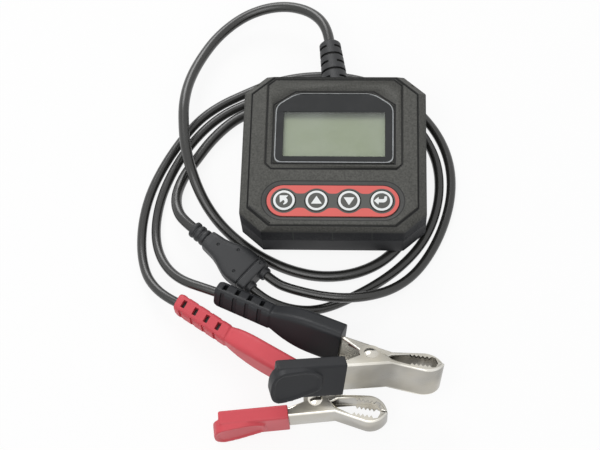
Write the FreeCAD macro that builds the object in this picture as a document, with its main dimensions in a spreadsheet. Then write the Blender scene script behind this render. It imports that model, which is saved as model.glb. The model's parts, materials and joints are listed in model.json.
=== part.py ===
import FreeCAD, Part

import math
import os
import re

import Sketcher
from FreeCAD import Placement, Rotation, Vector

# Battery tester with two clamp leads, lying on a table at z = 0, display up.
# Heights are from the table; x and y are from the centre of the casing, which stands at casing_x, casing_y.

SIZES = [
    ("casing_x", 13.4, "centre of the casing in the part's frame"),
    ("casing_y", 53.8, "centre of the casing in the part's frame"),
    ("laid_width", 100, "casing for which the cords and clamps are laid out"),
    ("laid_length", 94, "casing for which the cords and clamps are laid out"),
    ("laid_slope", 16.3, "handle's angle for which the clamps are laid out"),
    # Cords
    ("main_radius", 3, "main cord"),
    ("lead_radius", 2.6, "clamp leads"),
    ("first_run", 7, "straight run out of the strain relief and the splitter"),
    ("last_run", 8.5, "straight run into the splitter and the boots"),
    # Casing
    ("cord_gap", 0.5, "back of the casing above the cord that it lies on"),
    ("casing_lift", "=2 * main_radius + cord_gap", "back of the casing above the table"),
    ("casing_width", 100, "across the display"),
    ("casing_length", 94, "along the display"),
    ("casing_depth", 30, "back to front"),
    ("corner_across", 12, "cut corner, measured across"),
    ("corner_along", 10.5, "cut corner, measured along"),
    ("parting", "=casing_depth / 2", "back of the casing to the parting line"),
    ("wall", 3, "wall of the front cover"),
    ("rear_wall", 4.2, "wall of the rear cover, with the lip"),
    ("lip_height", 2, "lip that reaches into the front cover"),
    ("lip_gap", 0.15, "clearance round the lip"),
    ("back_floor", 2.5, "floor of the rear cover"),
    ("back_bevel", 1.5, "bevel round the back"),
    ("face_thickness", 3, "face of the front cover"),
    ("bevel_across", 4, "sloping rim at the sides"),
    ("bevel_along", 1.6, "sloping rim at the ends"),
    ("bevel_depth", 3.5, "height of the sloping rim"),
    ("ledge", 1.1, "flat ledge between the rim and the raised panel"),
    ("panel_step", 0.8, "raised panel above the ledge"),
    # Display
    ("surround_width", 75, "sunk field round the display"),
    ("surround_bottom", 12.3, "lower edge of that field below the centre"),
    ("surround_corner", 3.5, "cut lower corners of that field"),
    ("surround_depth", 0.5, "depth of that field"),
    ("lens_width", 64.4, "display lens"),
    ("lens_top_width", 42.4, "straight part of its upper edge"),
    ("lens_top", 34.8, "upper edge above the centre"),
    ("lens_shoulder", 27.1, "where its upper corner cuts start"),
    ("lens_bottom", 7.7, "lower edge below the centre"),
    ("lens_thickness", 1.6, "plate"),
    ("lens_proud", 0.3, "above the sunk field"),
    ("lens_gap", 0.15, "clearance round the lens"),
    ("lens_edge", 0.35, "bevel round the lens"),
    ("window_width", 58.2, "opening under the lens"),
    ("window_top", 23.2, "opening, above the centre"),
    ("window_bottom", 5.5, "opening, below the centre"),
    ("glass_width", 62, "display glass"),
    ("glass_length", 32, "display glass"),
    ("glass_thickness", 2, "display glass"),
    ("glass_y", 8.85, "centre of the display"),
    ("glass_gap", 0.15, "clearance round the glass"),
    ("carrier_rim", 3, "rim of the carrier round the glass"),
    ("inside_gap", 0.3, "clearance under the face of the front cover"),
    # Keypad
    ("key_y", 30.5, "row of keys below the centre"),
    ("key_pitch", 17.3, "key to key"),
    ("key_radius", 6.15, "key cap"),
    ("key_gap", 0.3, "clearance round a key"),
    ("key_proud", 0.4, "key above the overlay"),
    ("key_edge", 0.4, "bevel of the key cap"),
    ("key_travel", 0.6, "travel of a key"),
    ("flange_radius", 7.3, "flange that keeps the key in"),
    ("flange_thickness", 1, "same flange"),
    ("post_radius", 2, "post under the key"),
    ("overlay_length", 70.4, "red keypad face"),
    ("overlay_height", 18, "red keypad face"),
    ("overlay_thickness", 0.8, "red keypad face"),
    ("overlay_gap", 0.2, "clearance round the keypad face"),
    ("recess_length", 76.8, "dished recess at the panel"),
    ("recess_height", 23.6, "dished recess at the panel"),
    ("recess_depth", 1.2, "dished recess"),
    # Inside
    ("board_drop", 12.5, "underside of the board below the front"),
    ("board_height", "=casing_lift + casing_depth - board_drop", "underside of the board above the table"),
    ("board_thickness", 1.6, "board"),
    ("board_side_gap", 15, "side of the casing to the board"),
    ("board_top_gap", 12, "upper end of the casing to the board"),
    ("board_bottom_gap", 10, "lower end of the casing to the board"),
    ("board_width", "=casing_width - 2 * board_side_gap", "board"),
    ("board_top", "=casing_length / 2 - board_top_gap", "upper edge above the centre"),
    ("board_bottom", "=casing_length / 2 - board_bottom_gap", "lower edge below the centre"),
    ("board_screw_x", 31.5, "board screws"),
    ("board_screw_top", 31, "upper pair above the centre"),
    ("board_screw_bottom", 14, "lower pair below the centre"),
    ("boss_radius", 3.25, "board boss"),
    ("switch_size", 6, "switch body, square"),
    ("switch_height", 2.6, "switch body"),
    ("plunger_radius", 1.6, "switch plunger"),
    ("plunger_height", 0.85, "switch plunger"),
    ("press_gap", 0.05, "key post to plunger, key pressed"),
    ("terminal_width", 14, "terminal block"),
    ("terminal_length", 8, "terminal block"),
    ("terminal_height", 7, "terminal block"),
    ("terminal_y", 30, "terminal block above the centre"),
    ("chip_size", 12, "larger chip"),
    ("small_chip_size", 8, "smaller chip"),
    ("chip_height", 1.6, "chips"),
    ("chip_x", 9, "chips from the middle"),
    ("resistor_width", 30, "load resistor under the board"),
    ("resistor_length", 14, "load resistor"),
    ("resistor_height", 9, "load resistor"),
    ("resistor_y", 5, "load resistor below the centre"),
    ("capacitor_radius", 4, "capacitor under the board"),
    ("capacitor_height", 9.5, "capacitor"),
    ("capacitor_x", 20, "capacitors from the middle"),
    ("capacitor_y", 14, "capacitors above the centre"),
    ("wire_radius", 0.9, "supply wire"),
    ("wire_spread", 2.2, "supply wire from the middle"),
    # Screws
    ("cover_screw_side", 10, "side of the casing to a cover screw"),
    ("cover_screw_end", 9, "end of the casing to a cover screw"),
    ("cover_screw_x", "=casing_width / 2 - cover_screw_side", "cover screws"),
    ("cover_screw_y", "=casing_length / 2 - cover_screw_end", "cover screws"),
    ("column_radius", 4.25, "column round a cover screw"),
    ("counterbore", 9, "depth of the screw head's hole in the back"),
    ("head_radius", 2.75, "cover screw"),
    ("head_height", 2.5, "cover screw"),
    ("head_gap", 0.25, "clearance round the head"),
    ("shank_radius", 1.45, "cover screw"),
    ("shank_length", 16, "cover screw"),
    ("pilot_gap", 0.05, "screw to its pilot hole"),
    ("free_gap", 0.25, "screw to its free hole"),
    ("board_head_radius", 2.5, "board screw"),
    ("board_head_height", 2, "board screw"),
    ("board_shank_radius", 1.1, "board screw"),
    ("board_shank_length", 8.6, "board screw"),
    ("pilot_end", 1, "pilot hole past the screw's end"),
    # Strain relief
    ("relief_height", "=casing_lift + parting", "axis above the table"),
    ("relief_tilt", 7.9, "turned to the left"),
    ("relief_start", 1.2, "sleeve from the wall"),
    ("relief_end", 29, "end of the sleeve"),
    ("relief_base_radius", 7.5, "sleeve at the wall"),
    ("relief_end_radius", 6, "sleeve at its end"),
    ("relief_round", 1.4, "bevel of the end"),
    ("neck_radius", 4.5, "neck in the wall"),
    ("neck_gap", 0.7, "clearance of the tilted neck"),
    ("collar_radius", 6.5, "collar inside the wall"),
    ("collar_thickness", 1.8, "collar inside the wall"),
    ("collar_gap", 1.1, "collar to the wall, for the tilt"),
    ("groove_first", 3.6, "first groove"),
    ("groove_pitch", 5.1, "groove to groove"),
    ("groove_width", 1.3, "groove"),
    ("groove_depth", 1.2, "groove"),
    ("groove_sweep", 138, "angle of a split groove on each side"),
    # Splitter
    ("splitter_x", -68, "start of the splitter's body"),
    ("splitter_y", -43.6, "start of the splitter's body"),
    ("splitter_turn", -40, "direction of the splitter"),
    ("splitter_length", 35, "body"),
    ("splitter_depth", 11, "body"),
    ("splitter_round", 2.2, "rounded edges of the body"),
    ("splitter_start_half", 5.5, "half width at the start"),
    ("splitter_neck", 8, "end of the narrow part"),
    ("splitter_neck_half", 6, "half width there"),
    ("splitter_shoulder", 21, "start of the wide part"),
    ("splitter_shoulder_half", 10.3, "half width there"),
    ("splitter_end_half", 10, "half width at the end"),
    ("band_length", 5.5, "raised band at the end"),
    ("band_proud", 0.5, "raised band"),
    ("splitter_height", "=2 * main_radius + splitter_depth / 2 + band_proud", "axis above the table"),
    ("dimple_radius", 0.7, "dimple"),
    ("dimple_depth", 0.6, "dimple"),
    ("inlet_length", 11, "ribbed inlet sleeve"),
    ("inlet_radius", 4.1, "ribbed inlet sleeve"),
    ("inlet_rib", 0.6, "rib above the sleeve"),
    ("inlet_ribs", 3, "number of ribs"),
    ("outlet_length", 3, "outlet collar"),
    ("outlet_radius", 3.75, "outlet collar"),
    ("outlet_spread", 5.5, "outlet from the axis"),
    # Clamps, in their own frame: pivot at the origin, jaws to +x
    ("sheet", 1.2, "sheet metal"),
    ("jaw_height", 17.5, "outer height of the thumb jaw"),
    ("cheek_gap", 0.25, "between the cheeks of the two jaws"),
    ("waist_x", 11, "waist of the jaw"),
    ("waist_y", 4.9, "half width at the waist"),
    ("handle_slope", 16.3, "handle's angle to the middle"),
    ("bulge_x", 27.5, "widest place of the jaw"),
    ("bulge_y", 7.4, "half width there"),
    ("tip_x", 37.6, "tip of the jaw"),
    ("tip_radius", 10.2, "curve of the tip"),
    ("tip_gap", 0.15, "half the gap between closed tips"),
    ("tip_rim", 3, "rim at the tip"),
    ("rim_depth", 2.6, "rim of the cheek at the jaw"),
    ("tooth_start", 31, "first tooth"),
    ("tooth_pitch", 2.2, "tooth to tooth"),
    ("tooth_height", 1.4, "tooth"),
    ("ear_radius", 6, "ear round the rivet"),
    ("ear_front", 17.5, "where the ear starts"),
    ("ear_back", 24.6, "where the ear ends"),
    ("thumb_handle", 58.3, "handle of the thumb jaw, from the waist"),
    ("thumb_cheek", 4.7, "its cheek inside the boot"),
    ("cord_handle", 47, "handle of the cord jaw, from the waist"),
    ("cord_cheek", 2.2, "its cheek inside the boot"),
    ("rivet_radius", 2, "rivet shank"),
    ("rivet_head_radius", 3.75, "rivet head"),
    ("rivet_head_height", 1.3, "rivet head"),
    ("running_gap", 0.05, "rivet to the jaws"),
    ("spring_wire", 0.8, "radius of the wire"),
    ("spring_radius", 4, "radius of the coil"),
    ("spring_pitch", 2.2, "turn to turn"),
    ("spring_turns", 3, "whole turns"),
    ("spring_leg", 14, "straight leg"),
    ("spring_splay", 6, "leg's angle to its handle"),
    # Boots, along the handle from the waist and out from the jaw's outer face
    ("boot_height", 21, "both boots"),
    ("boot_gap", 0.1, "boot to the metal"),
    ("thumb_boot_start", 23.7, "open end"),
    ("thumb_boot_end", 62, "closed end"),
    ("thumb_boot_inner", 5.7, "inner face"),
    ("thumb_boot_outer", 1.8, "outer face"),
    ("thumb_boot_round", 1.2, "rounded edges"),
    ("rest_start", 35, "thumb rest"),
    ("rest_rise", 50, "end of its straight slope"),
    ("rest_rise_height", 5.2, "height there"),
    ("rest_top", 58.5, "highest place"),
    ("rest_height", 6.5, "height there"),
    ("rest_end", 65.2, "end past the boot"),
    ("rest_depth", 14, "measured along the rivet"),
    ("cord_boot_start", 27, "open end"),
    ("cord_boot_width", 11.4, "at the open end"),
    ("cord_boot_centre", 1.3, "middle at the open end"),
    ("cord_boot_waist", 46, "where it starts to narrow"),
    ("cord_boot_waist_centre", 2.4, "middle there"),
    ("neck_mid", 58, "halfway down the narrowing"),
    ("neck_mid_centre", 3.6, "middle there"),
    ("neck_mid_width", 11.2, "width there"),
    ("neck_mid_height", 17, "height there"),
    ("ladder_start", 67, "slotted relief"),
    ("ladder_start_centre", 4.4, "middle there"),
    ("ladder_end", 101, "end of the relief"),
    ("ladder_end_centre", 8.6, "middle there"),
    ("ladder_width", 10, "relief, out from the jaw"),
    ("ladder_height", 12, "relief, along the rivet"),
    ("ladder_round", 2.6, "rounded edges"),
    ("slot_first", 72.5, "first slot"),
    ("slot_pitch", 7.4, "slot to slot"),
    ("slot_length", 2.6, "slot, along the relief"),
    ("slot_width", 4.6, "slot, across"),
    ("slot_depth", 2.5, "slot"),
    ("notch_depth", 1.6, "notch in the side"),
    # Clamps on the table
    ("red_x", -7.5, "red clamp's pivot"),
    ("red_y", -134.6, "red clamp's pivot"),
    ("red_yaw", -9.76, "red clamp, flat on the table"),
    ("black_x", 19.8, "black clamp's pivot"),
    ("black_y", -119.6, "black clamp's pivot"),
    ("black_lift", 7.3, "black clamp's pivot above the red boots"),
    ("black_z", "=boot_height + black_lift", "black clamp's pivot, leaning on the red clamp"),
    ("black_yaw", -5.4, "black clamp"),
    ("black_pitch", 5.5, "black clamp"),
    ("black_roll", -29, "black clamp"),
]

# Hand-chosen points of the cords between their ends: x and y from the casing's centre, then the height
# of the cord's underside above the table
MAIN_ROUTE = [
    (-9.5, 92.5, 17.5), (-18, 100.3, 15), (-30, 105, 12), (-43.5, 105, 9), (-57, 100, 6.5),
    (-70, 88.5, 5), (-79, 73, 5.8), (-84.5, 56.5, 9), (-86.3, 40.5, 12.2), (-85.5, 25.5, 12.2),
    (-83.3, 10.5, 12.2), (-79, -4, 11), (-73, -17, 5), (-64.5, -28.5, 0.4), (-53, -40, 0),
    (-39, -50, 0), (-23, -57.5, 0), (-6, -61, 0), (12, -59, 0), (28, -51, 0), (40, -37, 0),
    (45.5, -20, 0), (45, -2, 0), (39, 16, 0), (28, 31, 0), (12, 41, 0), (-6, 45.5, 0), (-24, 46, 0),
    (-40, 44, 0), (-52, 39.7, 0), (-61.5, 33, 0), (-71.3, 22, 0), (-79, 9.5, 0), (-84.2, 1.2, 0),
    (-87, -7, 1.2), (-88, -15.5, 4.3), (-86.6, -24.2, 7.6),
]
RED_ROUTE = [
    (-23.5, -71.3, 10.2), (-15, -73.8, 10.6), (-5, -76, 10.6), (8, -77, 10.6), (21, -74.5, 8.4),
    (33, -68.5, 3.4), (44.5, -58.5, 0.2), (54, -44.5, 0), (61, -28, 0), (65, -10, 0), (64.5, 8, 0),
    (59, 25, 0), (49, 40, 0), (35, 53, 0), (17, 62, 0), (-3, 65.5, 0), (-22, 64.5, 0), (-39, 60, 0),
    (-54, 52.5, 0), (-67, 45.5, 0), (-79, 35.5, 0), (-89, 21, 0), (-97.5, 5, 0), (-103.5, -11, 0),
    (-106.3, -27, 0), (-106.3, -42, 0.2), (-104, -55, 1.9), (-99.5, -66, 4.9),
]
BLACK_ROUTE = [
    (-29.8, -80.1, 8.2), (-21, -81.6, 5.2), (-11.5, -81, 2), (-1.5, -78, 0), (10, -72.5, 0),
    (23, -65, 0), (36, -55, 0), (47.5, -42, 0), (55, -26.5, 0), (58.5, -9, 0), (57.5, 8.5, 0),
    (51.5, 24, 0), (42, 37, 0), (29, 48, 0), (13, 55.5, 0), (-4, 58.7, 0), (-21, 57.7, 0),
    (-37, 53.3, 0), (-52, 46.5, 0), (-64, 40, 0), (-75, 30, 0), (-84.5, 17, 0), (-92, 2, 0),
    (-97, -13, 0), (-99, -28, 0), (-98, -41, 1), (-94, -52.5, 3.9), (-87.5, -62, 7.9),
    (-79.5, -68.5, 11.4),
]

NAMES = {alias for alias, number, meaning in SIZES}
KEYS = ("key_back", "key_up", "key_down", "key_enter")
TEETH = 5
LADDER_SLOTS = 4
SPLIT_GROOVES = (0, 2, 4)
FULL_GROOVES = (1, 3)
BEND_SHARE = 0.45

doc = FreeCAD.newDocument("BatteryTester")
sheet = doc.addObject("Spreadsheet::Sheet", "Sizes")
nodes = []


# Sizes and places

def fill_sheet():
    for row, (alias, number, meaning) in enumerate(SIZES, start=1):
        sheet.set(f"A{row}", meaning)
        sheet.set(f"B{row}", str(number))
        sheet.setAlias(f"B{row}", alias)
    doc.recompute()


def tied(text):
    """An expression over the sheet, with the sheet's name before each size in it."""
    return re.sub(r"[a-z_]+", lambda word: f"Sizes.{word[0]}" if word[0] in NAMES else word[0], str(text))


def size(text):
    """The present value of such an expression."""
    return float(sheet.evalExpression(tied(text)))


def at(x=0, y=0, z=0, rotation=Rotation()):
    """A place measured from the casing's centre on the table."""
    return Placement(Vector(size("casing_x") + x, size("casing_y") + y, z), rotation)


def laid(x, y):
    """A place of the layout, moved out with the sides of the casing that it is laid round."""
    wider = size("(casing_width - laid_width) / 2")
    longer = size("(casing_length - laid_length) / 2")
    share_x = max(-1, min(1, 2 * x / size("laid_width")))
    share_y = max(-1, min(1, 2 * y / size("laid_length")))
    return x + wider * share_x, y + longer * share_y


def clamp_place(x, y, z, rotation):
    """A clamp's place: it moves across with the splitter, and its cord handle keeps its direction."""
    beside = size("splitter_x")
    across = laid(beside, y)[0] - beside
    turn = Rotation(size("handle_slope - laid_slope"), 0, 0)
    return at(x + across, laid(x, y)[1], z, rotation.multiply(turn))


def keep(item, label, placement=None):
    """Makes a finished piece a node of the part."""
    item.Label = label
    if placement:
        item.Placement = placement
    nodes.append(item)
    return item


# Sketches and features

def new_body(name):
    return doc.addObject("PartDesign::Body", name)


def new_sketch(body, role="XY_Plane", offset="0"):
    """A sketch on one of the body's own planes, moved along that plane's normal."""
    sketch = body.newObject("Sketcher::SketchObject", "Sketch")
    plane = next(item for item in body.Origin.OriginFeatures if item.Role == role)
    sketch.AttachmentSupport = [(plane, "")]
    sketch.MapMode = "FlatFace"
    sketch.setExpression("AttachmentOffset.Base.z", tied(offset))
    return sketch


def bind(sketch, constraint, text):
    index = sketch.addConstraint(constraint)
    sketch.setExpression(f"Constraints[{index}]", tied(text))


def hold(sketch, side, end, x, y):
    """Fixes one end of a side by its distances from the sketch's origin."""
    bind(sketch, Sketcher.Constraint("DistanceX", -1, 1, side, end, size(x)), x)
    bind(sketch, Sketcher.Constraint("DistanceY", -1, 1, side, end, size(y)), y)


def draw_arc(sketch, start, end, radius, turn):
    """A round side that turns left (1) or right (-1); returns its index and its first and last ends."""
    chord = end - start
    across = Vector(-chord.y, chord.x, 0).normalize()
    rise = math.sqrt(radius ** 2 - (chord.Length / 2) ** 2)
    centre = (start + end) / 2 + across * rise * turn
    first, last = (start, end) if turn > 0 else (end, start)
    angles = [math.atan2(point.y - centre.y, point.x - centre.x) for point in (first, last)]
    circle = Part.Circle(centre, Vector(0, 0, 1), radius)
    side = sketch.addGeometry(Part.ArcOfCircle(circle, *angles))
    return (side, 1, 2) if turn > 0 else (side, 2, 1)


def draw_outline(sketch, corners, arcs=()):
    """A closed outline through corners given as expressions; arcs maps a side to its radius and turn."""
    places = [Vector(size(x), size(y), 0) for x, y in corners]
    sides = []
    for number, start in enumerate(places):
        end = places[(number + 1) % len(places)]
        if number in arcs:
            radius, turn = arcs[number]
            sides.append(draw_arc(sketch, start, end, size(radius), turn))
            bind(sketch, Sketcher.Constraint("Radius", sides[-1][0], size(radius)), radius)
        else:
            sides.append((sketch.addGeometry(Part.LineSegment(start, end)), 1, 2))
    for number, (x, y) in enumerate(corners):
        side, first, last = sides[number]
        before = sides[number - 1]
        sketch.addConstraint(Sketcher.Constraint("Coincident", before[0], before[2], side, first))
        hold(sketch, side, first, x, y)


def draw_box(sketch, left, bottom, right, top):
    draw_outline(sketch, [(left, bottom), (right, bottom), (right, top), (left, top)])


def draw_circle(sketch, x, y, radius):
    centre = Vector(size(x), size(y), 0)
    side = sketch.addGeometry(Part.Circle(centre, Vector(0, 0, 1), size(radius)))
    hold(sketch, side, 3, x, y)
    bind(sketch, Sketcher.Constraint("Radius", side, size(radius)), radius)


def draw_slot(sketch, y, length, height):
    """A bar with round ends, centred at x = 0."""
    radius = f"({height}) / 2"
    end = f"({length}) / 2"
    flat = f"({end} - {radius})"
    low = f"({y}) - {radius}"
    high = f"({y}) + {radius}"
    corners = [(f"-{flat}", low), (flat, low), (end, y), (flat, high), (f"-{flat}", high), (f"-({end})", y)]
    draw_outline(sketch, corners, {side: (radius, 1) for side in (1, 2, 4, 5)})


def draw_rounded_box(sketch, x, y, width, height, radius):
    left = f"({x}) - ({width}) / 2"
    right = f"({x}) + ({width}) / 2"
    low = f"({y}) - ({height}) / 2"
    high = f"({y}) + ({height}) / 2"
    corners = [
        (f"{left} + {radius}", low), (f"{right} - {radius}", low), (right, f"{low} + {radius}"),
        (right, f"{high} - {radius}"), (f"{right} - {radius}", high), (f"{left} + {radius}", high),
        (left, f"{high} - {radius}"), (left, f"{low} + {radius}"),
    ]
    draw_outline(sketch, corners, {side: (radius, 1) for side in (1, 3, 5, 7)})


def extrude(body, kind, sketch, length, side="One side", reverse=False):
    """A Pad or a Pocket of the sketch."""
    feature = body.newObject(f"PartDesign::{kind}", kind)
    feature.Profile = sketch
    feature.setExpression("Length", tied(length))
    feature.SideType = side
    feature.Reversed = reverse
    return feature


def cut(body, sketch, length, side="One side", reverse=False):
    """A Pocket that has to take something away."""
    doc.recompute()
    before = body.Shape.Volume
    feature = extrude(body, "Pocket", sketch, length, side, reverse)
    doc.recompute()
    if body.Shape.Volume > before - 1e-6:
        raise RuntimeError(f"{body.Name}: {sketch.Name} cuts nothing")
    return feature


def loft(body, kind, first, *others):
    feature = body.newObject(f"PartDesign::{kind}", kind)
    feature.Profile = first
    feature.Sections = list(others)
    feature.Ruled = len(others) == 1
    return feature


def turn(body, sketch, axis="V_Axis"):
    feature = body.newObject("PartDesign::Revolution", "Revolution")
    feature.Profile = sketch
    feature.ReferenceAxis = (sketch, [axis])
    feature.Angle = 360
    return feature


def edges_at(shape, level):
    """Names of the edges that lie at one height."""
    names = []
    for number, edge in enumerate(shape.Edges, start=1):
        box = edge.BoundBox
        if max(abs(box.ZMin - level), abs(box.ZMax - level)) < 1e-4:
            names.append(f"Edge{number}")
    return names


def soften(body, kind, length, *levels):
    """A Fillet or Chamfer of all edges at the given heights of the body."""
    doc.recompute()
    names = [name for level in levels for name in edges_at(body.Shape, size(level))]
    base = body.Tip
    feature = body.newObject(f"PartDesign::{kind}", kind)
    feature.Base = (base, names)
    feature.setExpression("Radius" if kind == "Fillet" else "Size", tied(length))
    return feature


def solid(kind, x, y, z, **lengths):
    """A Part primitive at a place from the casing's centre, its lengths tied to the sheet."""
    item = doc.addObject(f"Part::{kind}", kind)
    for name, text in lengths.items():
        item.setExpression(name, tied(text))
    item.setExpression("Placement.Base.x", tied(f"casing_x + {x}"))
    item.setExpression("Placement.Base.y", tied(f"casing_y + {y}"))
    item.setExpression("Placement.Base.z", tied(z))
    return item


def block(x, y, z, width, length, height):
    """A box centred on x and y."""
    left = f"({x}) - ({width}) / 2"
    near = f"({y}) - ({length}) / 2"
    return solid("Box", left, near, z, Length=width, Width=length, Height=height)


def joined(first, second):
    item = doc.addObject("Part::Fuse", "Fuse")
    item.Base = first
    item.Tool = second
    return item


def group(label, items):
    item = doc.addObject("Part::Compound", label)
    item.Links = items
    return keep(item, label)


# Casing

def casing_outline(inset="0"):
    """The casing's plan with its cut corners, drawn in evenly."""
    share = "(1 / corner_across + 1 / corner_along - sqrt(1 / corner_across ^ 2 + 1 / corner_along ^ 2))"
    shrink = f"(1 - ({inset}) * {share})"
    return cut_corners(
        f"(casing_width / 2 - ({inset}))", f"(casing_length / 2 - ({inset}))",
        f"corner_across * {shrink}", f"corner_along * {shrink}")


def cut_corners(half_x, half_y, cut_x, cut_y):
    flat_x = f"({half_x} - {cut_x})"
    flat_y = f"({half_y} - {cut_y})"
    right = [(flat_x, f"-{half_y}"), (half_x, f"-{flat_y}"), (half_x, flat_y), (flat_x, half_y)]
    left = [(f"-{x}", y) for x, y in right[::-1]]
    return right + left


def casing_sketch(body, height, inset="0"):
    sketch = new_sketch(body, offset=height)
    draw_outline(sketch, casing_outline(inset))
    return sketch


def screw_places(x, top, bottom):
    return [(f"{sign} * {x}", y) for sign in (-1, 1) for y in (top, f"-({bottom})")]


COVER_SCREWS = screw_places("cover_screw_x", "cover_screw_y", "cover_screw_y")
BOARD_SCREWS = screw_places("board_screw_x", "board_screw_top", "board_screw_bottom")
FRONT = "casing_lift + casing_depth"
PARTING = "casing_lift + parting"
FLOOR = "casing_lift + back_floor"
FACE_INSIDE = f"{FRONT} - face_thickness"
KEY_FLOOR = f"{FRONT} - recess_depth"
BOARD_TOP = "board_height + board_thickness"


def circles(body, height, places, radius):
    sketch = new_sketch(body, offset=height)
    for x, y in places:
        draw_circle(sketch, x, y, radius)
    return sketch


def cut_gland_hole(body):
    """Half of the round hole for the strain relief's neck, in the upper end wall."""
    sketch = new_sketch(body, "XZ_Plane", "-(casing_length / 2 - rear_wall / 2)")
    draw_circle(sketch, "0", "relief_height", "neck_radius + neck_gap")
    cut(body, sketch, "2 * rear_wall", "Symmetric")


def make_rear_cover():
    body = new_body("rear_cover")
    shoulder = "casing_lift + back_bevel"
    back = casing_sketch(body, "casing_lift", "back_bevel")
    loft(body, "AdditiveLoft", back, casing_sketch(body, shoulder))
    extrude(body, "Pad", casing_sketch(body, shoulder), "parting - back_bevel")
    cut(body, casing_sketch(body, PARTING, "rear_wall"), "parting - back_floor")
    lip = casing_sketch(body, PARTING, "wall + lip_gap")
    draw_outline(lip, casing_outline("rear_wall"))
    extrude(body, "Pad", lip, "lip_height")
    cut(body, circles(body, PARTING, COVER_SCREWS, "column_radius + lip_gap"), "lip_height", reverse=True)
    extrude(body, "Pad", circles(body, FLOOR, COVER_SCREWS, "column_radius"), "parting - back_floor")
    extrude(body, "Pad", circles(body, FLOOR, BOARD_SCREWS, "boss_radius"), f"board_height - ({FLOOR})")
    heads = circles(body, "casing_lift", COVER_SCREWS, "head_radius + head_gap")
    cut(body, heads, "counterbore", reverse=True)
    cut(body, circles(body, PARTING, COVER_SCREWS, "shank_radius + free_gap"), "parting")
    pilots = circles(body, "board_height", BOARD_SCREWS, "board_shank_radius + pilot_gap")
    cut(body, pilots, "board_shank_length - board_thickness + pilot_end")
    cut_gland_hole(body)
    return keep(body, "rear_cover", at())


def lens_outline(gap):
    half = f"(lens_width / 2 + {gap})"
    top_half = f"(lens_top_width / 2 + {gap} / 2)"
    low = f"-(lens_bottom + {gap})"
    high = f"lens_top + {gap}"
    shoulder = f"lens_shoulder + {gap} / 2"
    return [(f"-{half}", low), (half, low), (half, shoulder), (top_half, high), (f"-{top_half}", high),
            (f"-{half}", shoulder)]


def make_front_cover():
    body = new_body("front_cover")
    ledge_level = f"{FRONT} - panel_step"
    shoulder = f"{ledge_level} - bevel_depth"
    extrude(body, "Pad", casing_sketch(body, PARTING), f"{shoulder} - ({PARTING})")
    rim = new_sketch(body, offset=ledge_level)
    rim_half_x = "(casing_width / 2 - bevel_across)"
    rim_half_y = "(casing_length / 2 - bevel_along)"
    draw_outline(rim, cut_corners(rim_half_x, rim_half_y, "corner_across", "corner_along"))
    loft(body, "AdditiveLoft", casing_sketch(body, shoulder), rim)
    panel = new_sketch(body, offset=ledge_level)
    panel_half_x = f"({rim_half_x} - ledge)"
    panel_half_y = f"({rim_half_y} - ledge)"
    draw_outline(panel, cut_corners(panel_half_x, panel_half_y, "corner_across", "corner_along"))
    extrude(body, "Pad", panel, "panel_step")
    cut(body, casing_sketch(body, PARTING, "wall"), "casing_depth - parting - face_thickness", reverse=True)
    columns = circles(body, PARTING, COVER_SCREWS, "column_radius")
    extrude(body, "Pad", columns, f"{FACE_INSIDE} - ({PARTING})")
    pilots = circles(body, PARTING, COVER_SCREWS, "shank_radius + pilot_gap")
    cut(body, pilots, "shank_length + counterbore - parting + pilot_end", reverse=True)
    field = new_sketch(body, offset=FRONT)
    half = "(surround_width / 2)"
    flat_half = f"({half} - surround_corner)"
    corner_y = "-(surround_bottom - surround_corner)"
    draw_outline(field, [
        (f"-{flat_half}", "-surround_bottom"), (flat_half, "-surround_bottom"), (half, corner_y),
        (half, "casing_length / 2"), (f"-{half}", "casing_length / 2"), (f"-{half}", corner_y)])
    cut(body, field, "surround_depth")
    recess = new_sketch(body, offset=FRONT)
    draw_outline(recess, lens_outline("lens_gap"))
    cut(body, recess, "surround_depth + lens_thickness - lens_proud")
    window = new_sketch(body, offset=FRONT)
    draw_box(window, "-window_width / 2", "-window_bottom", "window_width / 2", "window_top")
    cut(body, window, "face_thickness + surround_depth")
    dish_top = new_sketch(body, offset=FRONT)
    draw_slot(dish_top, "-key_y", "recess_length", "recess_height")
    dish_floor = new_sketch(body, offset=KEY_FLOOR)
    draw_slot(dish_floor, "-key_y", "overlay_length + 2 * overlay_gap", "overlay_height + 2 * overlay_gap")
    loft(body, "SubtractiveLoft", dish_top, dish_floor)
    cut(body, circles(body, FRONT, key_places(), "key_radius + key_gap"), "2 * face_thickness")
    cut_gland_hole(body)
    return keep(body, "front_cover", at())


def make_lens():
    body = new_body("display_lens")
    floor = f"{FRONT} - surround_depth - lens_thickness + lens_proud"
    sketch = new_sketch(body, offset=floor)
    draw_outline(sketch, lens_outline("0"))
    extrude(body, "Pad", sketch, "lens_thickness")
    soften(body, "Chamfer", "lens_edge", f"{floor} + lens_thickness")
    return keep(body, "display_lens", at())


# Display and board

def make_display():
    glass_top = f"{FACE_INSIDE} - inside_gap + glass_gap"
    glass_floor = f"{glass_top} - glass_thickness"
    glass = block("0", "glass_y", glass_floor, "glass_width", "glass_length", "glass_thickness")
    keep(glass, "lcd_panel")
    carrier_height = f"{FACE_INSIDE} - inside_gap - ({BOARD_TOP})"
    carrier_width = "glass_width + 2 * carrier_rim"
    carrier_length = "glass_length + 2 * carrier_rim"
    carrier = block("0", "glass_y", BOARD_TOP, carrier_width, carrier_length, carrier_height)
    seat = block("0", "glass_y", glass_floor, "glass_width + 2 * glass_gap", "glass_length + 2 * glass_gap",
                 "2 * glass_thickness")
    frame = doc.addObject("Part::Cut", "lcd_frame")
    frame.Base = carrier
    frame.Tool = seat
    keep(frame, "lcd_frame")


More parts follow.
